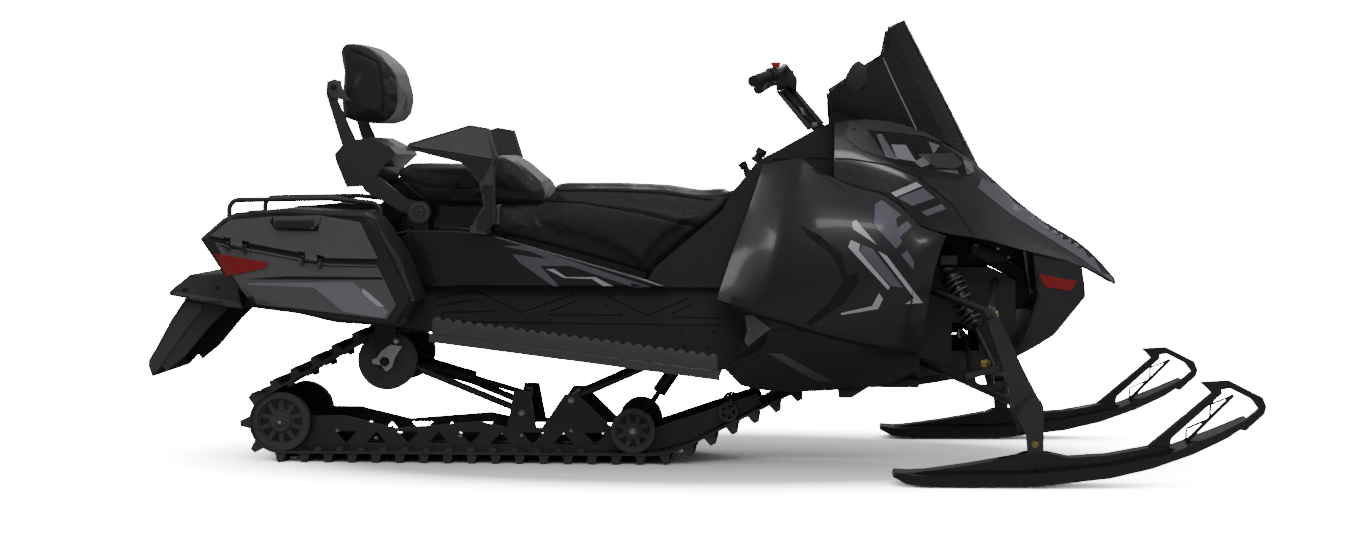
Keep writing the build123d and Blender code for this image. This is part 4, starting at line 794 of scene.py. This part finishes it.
# dark lines along the embossed relief of the tunnel's side: painted shade in place of the relief
TUNNEL_SHADE_LINES = [
    [(25, 340), (225, 300), (455, 410), (715, 320)],
    [(35, 380), (225, 345), (335, 405), (60, 410), (66, 452)],
    [(725, 355), (595, 405)],
    [(590, 421), (960, 425), (868, 366)],
    [(885, 330), (1080, 425), (1290, 340)],
    [(1310, 368), (1205, 416)],
    [(1205, 431), (1440, 440), (1440, 475), (60, 455)],
]
TUNNEL_GRAPHICS = [
    ("base_violet_long", "violet", [(502, 246), (526, 246), (651, 287), (633, 287), (570, 266), (540, 266),
        (559, 286), (553, 286), (519, 262), (512, 254), (548, 259), (532, 252)]),
    ("base_silver", "silver", [(546, 269), (554, 269), (566, 277), (595, 277), (613, 286), (603, 286),
        (592, 279), (564, 278)]),
]


def make_graphics():
    for name, paint, outline in FRONT_GRAPHICS:
        laid(name, outline, FRONT, paint, "panel_charcoal", 0.4, lift=0.4, step=5.0)
    for name, width, points in DARK_SHAPES:
        laid(name, points, FRONT, "seam", "panel_black", 0.3, lift=0.2, step=5.0, width=width)
    for name, paint, thick, outline in FOOT_SHAPES:
        laid(name, outline, ("side_shell_right", "belly_pan", "tunnel"), paint, "panel_charcoal", thick)


def make_tunnel_side():
    for number, points in enumerate(TUNNEL_SHADE_LINES):
        laid("tunnel_line_%d" % number, points, ("tunnel",), "seam", "tunnel_black", 0.3, lift=0.2, step=4.0,
             view=TUNNEL_VIEW, width=1.3)
    for name, paint, outline in TUNNEL_GRAPHICS:
        laid(name, outline, ("seat_base", "tunnel"), paint, "panel_charcoal", 0.4, lift=0.4, step=5.0)
    teeth = []
    for x in range(-735, 102, 31):
        low = 449 - 0.1276 * (x + 745)  # the board's lower edge, which falls towards the front
        teeth += [(x, low + 8), (x + 10, low + 16), (x + 20, low + 15), (x + 26, low + 8)]
    mirrored(prism("board_edge_right", teeth + [(98, 337), (98, 311), (-737, 416)], -428.5, -425.5,
                   "steel_grey", "board_alloy", 0.6))


# ---------------------------------------------------------------- seats and rests
DRIVER_OUTLINE = [(-585, 704), (-585, 790), (-470, 792), (-424, 812), (-405, 842), (-207, 842), (-73, 836),
    (30, 820), (90, 824), (136, 832), (100, 772), (-98, 603), (-114, 572)]
PASSENGER_OUTLINE = [(-889, 878), (-882, 898), (-846, 904), (-657, 900), (-600, 915), (-560, 930),
    (-520, 910), (-460, 857), (-427, 838), (-427, 796), (-590, 796), (-600, 790), (-726, 790), (-806, 803)]
REST_OUTLINE = [(-1057, 1266), (-1041, 1280), (-981, 1266), (-911, 1209), (-885, 1121), (-893, 1064),
    (-915, 1039), (-1050, 1043), (-1053, 1100), (-1050, 1190)]


def seam_on(name, pad, line):
    """A sewn seam behind pixels, right and left: a sunk channel with a raised cord in it."""
    hits = []
    for (x1, y1), (x2, y2) in zip(line, line[1:]):
        parts = max(2, int(math.hypot(x2 - x1, y2 - y1) / 4))
        hits += [cast(x1 + (x2 - x1) * t, y1 + (y2 - y1) * t, (pad.name,)) for t in
                 (i / parts for i in range(parts))]
    path = [tuple(hit[0] * 1000) for hit in hits if hit]
    groove(pad, path)
    mirrored(tube(name + "_right", path, 1.8, "vinyl_side", "seat_vinyl", body=pad["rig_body"], sides=6))


def make_seats():
    driver = soft_pad("driver_pad", DRIVER_OUTLINE, 180, "driver_seat", narrow=(720, 0.86))
    seam_on("driver_seam", driver, [(545, 200), (583, 202), (640, 212), (700, 228)])
    seam_on("driver_seam_top", driver, [(540, 190), (600, 190), (660, 192), (715, 200)])
    passenger = soft_pad("passenger_pad", PASSENGER_OUTLINE, 185, "passenger_seat", voxel=6.0, rounds=9)
    seam_on("passenger_seam", passenger, [(398, 176), (425, 186), (470, 187), (500, 180)])


def make_rest():
    pad = soft_pad("rest_cushion", REST_OUTLINE, 158, "rest_pad", "backrest", voxel=6.0, rounds=8, cap=7.0)
    seam_on("rest_seam", pad, photo_line([(200, 130), (300, 165), (378, 200), (395, 300), (410, 420),
        (405, 560)], REST_VIEW))
    mirrored(prism("rest_bracket_right", [(-1092, 1158), (-1072, 1166), (-1052, 1160), (-1044, 1130),
        (-1022, 1098), (-1076, 1108), (-1096, 1132)], -177, -172.3, "steel_grey", "steel_bright", 1.0))
    bolt("rest_bolt", (-1074, -177, 1142), 13, "dark_steel")


def make_knobs():
    """The clamp knobs on the rest's arms."""
    mirrored(lathe("rest_knob_right", (-804, -210, 765), (-804, -245, 765), [(0, 30), (4, 33), (8, 31),
        (10, 33), (28, 33), (32, 30), (33, 22), (30, 20), (29, 12), (33, 11), (34, 6), (29, 5), (29, 0)],
        "deep_grey", "grip_plastic", sides=12))


# ---------------------------------------------------------------- dampers
DAMPER_PROFILE = (  # share of the damper's length, radius
    (0, 8), (0.45, 8), (0.45, 19), (0.47, 34), (0.49, 34), (0.5, 20), (0.9, 20), (0.9, 33), (0.93, 33),
    (0.94, 21), (0.98, 14))


def make_dampers():
    low, top = Vector((918, -322, 290)), Vector((776, -212, 596))
    run, length = (top - low).normalized(), (top - low).length
    damper = lathe("damper_right", low, top, [(length * share, radius) for share, radius in DAMPER_PROFILE],
                   "dark_steel", "steel_bright", "front_shock_right")
    mirrored(damper, "front_shock_left")
    mirrored(coil("spring_right", low + run * length * 0.5, low + run * length * 0.9, 29, 4.6, 7,
                  "steel_grey", "steel_bright"))
    half = Vector((14, 0, 0))
    for name, place in (("low", low), ("top", top)):
        mirrored(lathe("damper_eye_%s_right" % name, place - half, place + half, [
            (0, 6), (0, 13.5), (2, 14), (26, 14), (28, 13.5), (28, 6)], "dark_steel", "steel_dark"))


# ---------------------------------------------------------------- saddlebags, fender and flap
BAG_SHAPES = [  # name, paint, slot, thickness, outline
    # a near-black line under the bag's lower ridge: a painted shadow
    ("bag_swoosh", "seam", "bag_grey", 0.5, [(560, 440), (760, 425), (1275, 430), (1270, 441), (760, 441)]),
    ("bag_violet", "slate", "bag_grey", 0.5, [(565, 460), (1110, 455), (1300, 610), (1280, 645), (1060, 610),
        (910, 485), (565, 470)]),
    ("bag_violet_patch", "seam", "bag_grey", 0.2, [(1000, 490), (1085, 485), (1150, 570), (1110, 580)]),
    ("bag_silver", "silver", "bag_grey", 0.6, [(1160, 485), (1195, 510), (1280, 585), (1240, 582),
        (1165, 515)]),
    ("bag_reflector", "red_lens", "lamp_red", 3.0, [(358, 298), (670, 352), (655, 382), (445, 425)]),
]


def make_bags():
    laid("bag_panel", [(392, 246), (985, 358), (1240, 366), (1340, 575), (1290, 650), (590, 565), (490, 430)],
        ("bag_right",), "grey_plastic", "bag_grey", 3.0, step=4.0, view=BAG_VIEW)
    near = ("bag_right", "bag_panel_right")
    for name, paint, slot, thick, outline in BAG_SHAPES:
        laid(name, outline, near, paint, slot, thick, view=BAG_VIEW)
    laid("bag_rim_line", [(322, 232), (385, 128), (500, 92), (1190, 118), (1225, 140), (1415, 540),
        (1330, 690), (560, 590), (322, 232)], ("bag_right",), "seam", "bag_plastic", 0.4, lift=0.2,
        view=BAG_VIEW, width=1.2)
    laid("bag_door_seam", [(400, 262), (985, 372), (1240, 377)], near, "seam", "bag_grey", 0.4, lift=0.2,
        view=BAG_VIEW, width=0.9)
    recess = [(704, 104), (950, 100), (928, 186), (712, 178), (684, 140)]
    laid("bag_latch_rim", recess + recess[:1], ("bag_door_right",), "seam", "bag_plastic", 1.2, view=BAG_VIEW,
         width=1.6, body="door_right")
    mirrored(prism("bag_latch_right", [(-1176, 748), (-1070, 750), (-1066, 738), (-1078, 724), (-1172, 726),
        (-1182, 738)], -499, -491, "grained", "bag_plastic", 2.0, body="door_right"))
    for x in (-1300, -960):
        mirrored(prism("bag_clip_%d_right" % -x, [(x, 772), (x + 40, 774), (x + 44, 762), (x - 4, 760)],
                       -330, -300, "frame", "rack_metal", 2.0))


def make_rear():
    laid("fender_strip", [(190, 505), (525, 560), (530, 592), (245, 548), (185, 530)], ("fender",),
        "grey_plastic", "bag_grey", 2.0, view=BAG_VIEW)
    laid("flap_plate", [(250, 555), (330, 572), (325, 600), (215, 740), (70, 950), (50, 880)], ("snow_flap",),
        "deep_grey", "flap_rubber", 2.5, view=BAG_VIEW)
    for side, name in ((-1, "right"), (1, "left")):
        for x, z in ((-1520, 560), (-1420, 566)):
            lathe("fender_stud_%d_%s" % (-x, name), (x, side * 240, z - 30), (x, side * 244, z - 30), [
                (0, 7), (2.5, 7), (3.5, 5), (3.5, 0)], "dark_steel", "steel_dark", sides=12)
    for number, y in enumerate((-120, -40, 40, 120)):
        tube("flap_rib_%d" % number, [(-1560 - 8 * number, y, 455), (-1632, y, 320)], 4.0, "rubber",
             "flap_rubber")


# ---------------------------------------------------------------- lamps, screen and cowl trim
LAMP_SHAPES = [  # name, paint, thickness, outline
    ("lamp_bowl", "seam", 0.3, [(795, 470), (1110, 505), (1250, 545), (1400, 615), (1425, 690), (1385, 730),
        (1200, 705), (1010, 665), (905, 630), (850, 540)]),
    ("lamp_stripe", "slate", 0.8, [(850, 490), (880, 488), (975, 640), (905, 622)]),
    ("lamp_block", "silver", 1.6, [(935, 550), (1020, 552), (1080, 650), (970, 632)]),
    ("lamp_mirror_top", "steel", 2.0, [(1150, 535), (1215, 556), (1180, 605)]),
    ("lamp_mirror_mid", "steel", 2.0, [(1066, 652), (1120, 622), (1160, 664), (1110, 684)]),
    ("lamp_mirror_low", "steel", 2.0, [(1190, 700), (1315, 700), (1330, 724)]),
    ("lamp_mirror_front", "steel", 2.0, [(1350, 632), (1404, 660), (1416, 706), (1372, 728)]),
    ("lamp_visor", "steel_grey", 1.4, [(1085, 606), (1290, 598), (1350, 660), (1310, 690), (1200, 684)]),
]


def make_lamps():
    for name, paint, thick, outline in LAMP_SHAPES:
        laid(name, outline, ("hood_shell",), paint, "lamp_clear", thick, lift=0.4, step=2.5, view=LAMP_VIEW)
    laid("cowl_band", [(700, 397), (1058, 430), (1130, 482), (1240, 540), (1110, 500), (795, 466), (850, 540),
        (905, 632), (760, 585), (665, 510)], ("hood_shell", "console"), "satin", "panel_charcoal", 2.0,
        view=LAMP_VIEW)
    laid("cowl_facet", [(530, 722), (770, 800), (705, 850), (610, 775)], FRONT, "charcoal", "panel_charcoal",
        1.0, view=LAMP_VIEW)
    bolt("cowl_screw", at(854, 129, -292), 7, "dark_steel", axis=(0.1, -1, 0.1))


def make_tail():
    prism("tail_lens", [(-1416, 670), (-1400.5, 670), (-1400.5, 701), (-1410, 701), (-1416, 694)], -112, 112,
        "red_lens", "lamp_red", 3.0, "tail_lamp")
    prism("nose_grille_bar", [(1184, 545), (1191, 545), (1191, 556), (1184, 556)], -120, 120, "charcoal",
        "panel_charcoal", 1.5)


def make_engine_bay():
    """The dark moulding that closes the space between the hood and the front frame."""
    prism("bay_liner", [(746, 604), (746, 835), (800, 800), (900, 745), (1010, 694), (1010, 640), (1030, 522),
        (1012, 470), (984, 470), (984, 562), (902, 602)], -88, 88, "grained", "panel_black", 4.0)
    prism("link_shield", [(795, 345), (875, 345), (875, 430), (795, 430), (795, 389), (821, 389), (821, 402),
        (849, 402), (849, 374), (821, 374), (821, 387), (795, 387)], -4, 4, "grained", "frame_black", 0.5)
    mirrored(prism("bay_duct_right", [(845, 640), (850, 690), (930, 680), (985, 650), (975, 612), (900, 608)],
        -118, -88, "deep_grey", "panel_charcoal", 8.0))
    for number, (x, z) in enumerate(((868, 668), (930, 655), (962, 628))):
        bolt("duct_screw_%d" % number, (x, -118, z), 8)
    mirrored(tube("bay_brace_right", [(812, -100, 700), (930, -150, 640), (1005, -120, 590)], 6.0, "frame",
                  "frame_black", bend=20))


def make_liners():
    """Dark fillers behind the joints between the seats, the console and the seat base."""
    for name, outline, half in (
        ("seat_front_liner", [(138, 828), (102, 768), (-100, 596), (-116, 568), (-150, 568), (40, 760),
            (96, 822)], 150),
        ("seat_joint_liner", [(-806, 802), (-600, 790), (-440, 790), (-440, 832), (-600, 838), (-790, 838)],
            150),
        ("seat_floor_liner", [(-590, 674), (-590, 720), (-124, 586), (-124, 548)], 158),
        ("rest_liner", [(-1010, 700), (-900, 700), (-870, 760), (-930, 800), (-1010, 740)], 120),
    ):
        prism(name, outline, -half, half, "vinyl_side", "seat_vinyl", 6.0)


def make_armrest_trim():
    near = ("armrest_right",)
    for name, paint, slot, thick, outline in (
        # a lighter strip on the armrest's top face: a painted highlight
        ("arm_crown", "grey_plastic", "grip_plastic", 0.6, [(585, 757), (975, 634), (1092, 650),
            (1124, 842)]),
        # the darker face below the ridge: painted shade
        ("arm_belly", "grained", "seat_vinyl", 0.9, [(585, 768), (1124, 856), (1060, 985), (985, 970),
            (885, 882), (645, 786)]),
        ("arm_blade", "satin", "grip_plastic", 0.9, [(1062, 1015), (1128, 1010), (1130, 1270), (1072, 1318),
            (1020, 1300)]),
    ):
        laid(name, outline, near, paint, slot, thick, view=REST_VIEW)
    # a dark line along the armrest's ridge: painted shade
    laid("arm_ridge", [(590, 762), (860, 800), (1124, 848)], near, "seam", "grip_plastic", 0.3, lift=1.2,
        view=REST_VIEW, width=0.9)


def make_ski_struts():
    """The lattice between the loop's strut and its brace."""
    strut = [Vector((1392, 0, 132)), Vector((1525, 0, 268))]
    brace = [Vector((1424, 0, 128)), Vector((1556, 0, 262))]
    webs = 4
    for side, name in ((-1, "right"), (1, "left")):
        body, out = "ski_leg_" + name, Vector((0, side * 540, 0))
        tube("ski_brace_" + name, [brace[0] + out, brace[1] + out], 6.0, "ski", "ski_plastic", body)
        for k in range(webs):
            low, high = k / webs, (k + 1) / webs
            start = strut[0].lerp(strut[1], low if k % 2 else high)
            end = brace[0].lerp(brace[1], high if k % 2 else low)
            tube("ski_web_%s_%d" % (name, k), [start + out, end + out], 3.5, "ski", "ski_plastic", body)
        for x, z, paint in ((1007, 60, "steel"), (1000, 120, "gold")):
            face = Vector((x, side * 558, z))
            lathe("ski_nut_%s_%d" % (name, z), face, face + Vector((0, side, 0)) * 6, [
                (0, 11), (3, 11), (3, 7), (6, 6), (6, 0)], paint, "steel_bright", body=body, sides=6)


def make_nose_trim():
    laid("nose_reflector", [(1038, 274), (1076, 281), (1071, 291), (1045, 287)], ("nose_bumper",), "red_lens",
        "lamp_red", 3.0, step=2.0)
    laid("nose_plate", [(1030, 264), (1086, 270), (1088, 297), (1058, 334), (1018, 356), (1021, 346),
        (1040, 299)], ("nose_bumper",), "satin", "panel_charcoal", 1.5, lift=0.2)


SCREEN_ROWS = [  # the right half, from the front edge back to the wing; each row from the peak down
    [(655, 0, 1350), (735, 0, 1200), (815, 0, 1050), (899, 0, 886)],
    [(648, -62, 1346), (722, -82, 1195), (795, -96, 1046), (857, -79, 916)],
    [(600, -120, 1322), (655, -158, 1190), (705, -186, 1085), (779, -174, 968)],
    [(584, -165, 1240), (606, -206, 1160), (645, -226, 1080), (690, -225, 1004)],
    [(500, -235, 1186), (520, -258, 1120), (545, -270, 1070), (561, -268, 1028)],
    [(420, -290, 1132), (422, -294, 1100), (424, -294, 1070), (428, -289, 1028)],
]
SCREEN_LINES = [  # name, paint, width, points
    # a light line along the screen's crease: a painted highlight
    ("screen_crease", "slate", 1.1, [(883, 58), (895, 85), (907, 110), (917, 131)]),
    # a dark line along the screen's fold: painted shade
    ("screen_fold", "seam", 0.9, [(901, 58), (922, 96), (941, 131)]),
    ("screen_edge_rear", "seam", 1.8, [(832, 121), (831, 93), (844, 79), (864, 66), (884, 55), (885, 33),
        (902, 21)]),
    ("screen_edge_inner", "seam", 0.9, [(836, 119), (835, 95), (847, 83), (866, 70), (888, 58), (889, 36)]),
    ("screen_edge_front", "seam", 1.4, [(903, 22), (923, 62), (947, 106), (966, 147)]),
]
CLEAR_WAY = (1.0, 0.0, 0.535)  # across the screen's width this is even, and it grows towards the front edge
CLEAR_FROM, CLEAR_TO = 1.22, 1.375  # metres along it where the change starts and ends
DENSE, CLEAR = 0.955, 0.895  # opacity at those places


def clear_front(material):
    """The screen lets more light through towards its front edge."""
    tree = material.node_tree
    lean = add_node(tree, "VectorMath", {0: object_space(tree), 1: CLEAR_WAY}, operation="DOT_PRODUCT")
    clear = add_node(tree, "MapRange", {
        "Value": lean.outputs["Value"], "From Min": CLEAR_FROM, "From Max": CLEAR_TO, "To Min": DENSE,
        "To Max": CLEAR})
    feed(tree, shader_of(material), {"Alpha": clear.outputs["Result"]})


def make_screen():
    skin("screen", SCREEN_ROWS, "smoke", "screen_smoke", "windshield", 4.0, (2, 3))
    wing = SCREEN_ROWS[5]
    mirrored(tube("screen_rim_right", [row[0] for row in SCREEN_ROWS[2:5]] + wing[3:] + wing, 3.0, "seam",
                  "panel_black", sides=8))
    for name, paint, width, points in SCREEN_LINES:
        laid(name, points, ("screen",), paint, "screen_smoke", 0.6, lift=0.2, width=width)
    clear_front(PAINT["smoke"])
    mirrored(prism("mirror_pod_right", side_view([(843, 86), (850, 67), (858, 60), (866, 66), (868, 84),
        (858, 92), (852, 104), (843, 101)], -235), -262, -222, "grained", "grip_plastic", 8.0))
    mirrored(tube("mirror_stalk_right", [at(846, 101, -242), at(838, 112, -258), at(838, 123, -268)], 5.0,
                  "grained", "grip_plastic", bend=8))
    prism("gauge_pod", [(440, 1056), (452, 1098), (476, 1112), (530, 1090), (560, 1052)], -105, 105,
        "grained", "panel_black", 10.0)
    prism("gauge_face", [(438, 1060), (449, 1097), (455, 1095), (444, 1058)], -84, 84, "lens", "lamp_clear",
        2.0)


# ---------------------------------------------------------------- bar and controls
def make_controls():
    for name, paint, half, radius, points in (
        ("post_rail_low", "steel_grey", 24, 2.0, [(262, 236), (288, 238), (484, 452), (452, 468)]),
        ("post_rail_high", "steel_grey", 24, 2.0, [(338, 205), (382, 228), (548, 424), (520, 440)]),
        ("post_brace", "alloy", 22, 2.0, [(398, 328), (424, 340), (446, 386), (420, 380)]),
        ("post_foot", "alloy", 26, 2.0, [(470, 425), (505, 418), (515, 445), (480, 455)]),
        ("bar_clamp", "grained", 58, 6.0, [(262, 130), (338, 92), (392, 170), (386, 246), (340, 216),
            (270, 238)]),
    ):
        prism(name, side_view(photo_line(points, LAMP_VIEW), 0), -half, half, paint, "frame_black", radius,
              body="steering")
    start, end = Vector((200, -372, 1150)), Vector((262, -180, 1182))  # along the right grip
    run = (end - start).normalized()
    for name, share, size, paint in (
        ("switch_block", 0.80, 21, "grained"),
        ("lever_perch", 0.97, 18, "steel_grey"),
    ):
        middle = start.lerp(end, share)
        mirrored(lathe(name + "_right", middle - run * 22, middle + run * 22, [
            (0, 13), (0, size - 3), (3, size), (36, size), (44, size - 5), (44, 13)], paint, "grip_plastic",
            body="steering", sides=10))
    tube("brake_lever_left", [(262, 196, 1176), (292, 214, 1166), (286, 290, 1152), (268, 372, 1138)], 4.5,
         "steel_grey", "steel_dark", "steering", bend=18)
    tube("throttle_lever_right", [(250, -214, 1168), (236, -238, 1140), (226, -262, 1128)], 4.5, "steel_grey",
         "steel_dark", "steering", bend=12)
    lathe("stop_button", (262, -206, 1196), (262, -206, 1212), [(0, 11), (7, 11), (7, 15), (13, 15), (16, 12),
        (16, 0)], "red", "lamp_red", body="steering")
    for name, place, way, size in (
        ("key_knob", (205, -70, 925), (0.6, 0, 1.0), 17),
        ("starter_knob", (170, 80, 885), (-0.6, 0, 1.0), 14),
    ):
        base, ahead = Vector(place), Vector(way).normalized()
        lathe(name, base - ahead * 12, base + ahead * 34, [
            (0, size), (12, size), (14, size * 0.75), (24, size * 0.75), (27, size), (44, size),
            (46, size * 0.8), (46, 0)], "grained", "grip_plastic", sides=16)


# ---------------------------------------------------------------- skid and front end
REAR_AXLE, FRONT_AXLE, IDLER = (-1245, 124), (-168, 102), (-916, 313)  # x and z in millimetres
BELT_RUNS = (  # start, way along, way out, distance of the first lug, pitch and number of lugs
    (Vector((-960.8, 0, 391)), Vector((-0.867, 0, -0.498)), Vector((-0.498, 0, 0.867)), 30, 66, 5),
    (Vector((-1130, 0, 34)), Vector((1, 0, 0)), Vector((0, 0, -1)), 0, 67, 13),
)


def make_running_gear():
    for number, (x, z) in enumerate((REAR_AXLE, FRONT_AXLE)):
        bolt("axle_bolt_%d" % number, (x, -184, z), 15)
    # closed webs inside the wheels, which are real; their paint, darker than the wheels', is painted shade in
    # the hollows between the spokes
    for name, (x, z), radius in (("rear", REAR_AXLE, 66), ("front", FRONT_AXLE, 49), ("idler", IDLER, 66)):
        mirrored(lathe(name + "_web_right", (x, -166, z), (x, -170, z), [
            (0, radius * 0.4), (0, radius), (1, radius + 2), (3, radius + 2), (4, radius), (4, radius * 0.4)],
            "grained", "wheel_black", sides=48))
    x, z = IDLER
    mirrored(lathe("idler_cover_right", (x, -180, z), (x, -187, z), [(0, 78), (1, 80), (3, 80), (4, 76),
        (4, 60), (5.5, 56), (6, 50), (6, 30), (7, 26), (7, 0)], "wheel", "wheel_black", sides=56))
    plate = [(1310, 780), (1372, 790), (1335, 850), (1320, 900), (1290, 925), (1262, 890), (1215, 880),
        (1215, 858), (1240, 850), (1262, 815)]
    mirrored(prism("idler_bracket_right", side_view(photo_line(plate, BAG_VIEW), -212), -220, -214, "silver",
                   "steel_bright", 1.5))
    bolt("idler_bolt", (x, -220, z), 20, "dark_steel")
    bolt("idler_bolt_small", at(396, 341, -214), 11)
    rail = ((-1080, 92), (-960, 70), (-700, 78), (-512, 80), (-360, 96), (-220, 80))
    for name, size, places in (("rail_bolt_%d", 8, rail), ("arm_bolt_%d", 13, ((-360, 190), (-512, 150)))):
        for number, (x, z) in enumerate(places):
            bolt(name % number, (x, -134, z), size)
    lugs = [(start + along * (first + pitch * k), along, out)
            for start, along, out, first, pitch, count in BELT_RUNS for k in range(count)]
    for number, (place, along, out) in enumerate(lugs):
        corners = [place - along * 13 + out, place + along * 13 + out, place + along * 8 - out * 13,
                   place - along * 8 - out * 13]
        mirrored(prism("drive_lug_%d_right" % number, [(c.x, c.z) for c in corners], -187, -168, "rubber",
                       "track_rubber", 1.5))
    for name, x, z in (("ball_top", 892, 478), ("ball_low", 868, 336)):
        mirrored(lathe(name + "_right", (x, -440, z - 14), (x, -440, z + 14), [
            (0, 9), (3, 13), (9, 15), (19, 15), (25, 13), (28, 9)], "gold", "steel_bright"))
    spots = photo_line([(1245, 505), (1412, 505), (1265, 575), (1385, 588)], TUNNEL_VIEW)
    for number, (px, py) in enumerate(spots):
        bolt("tunnel_bolt_%d" % number, cast(px, py, ("tunnel",))[0] * 1000, 6, "dark_steel")


make_camera()
make_stage()
paint_frame()
make_cowl()
make_side_panels()
make_graphics()
make_tunnel_side()
make_seats()
make_rest()
make_knobs()
make_dampers()
make_bags()
make_rear()
make_lamps()
make_tail()
make_engine_bay()
make_liners()
make_armrest_trim()
make_ski_struts()
make_nose_trim()
make_screen()
make_controls()
make_running_gear()
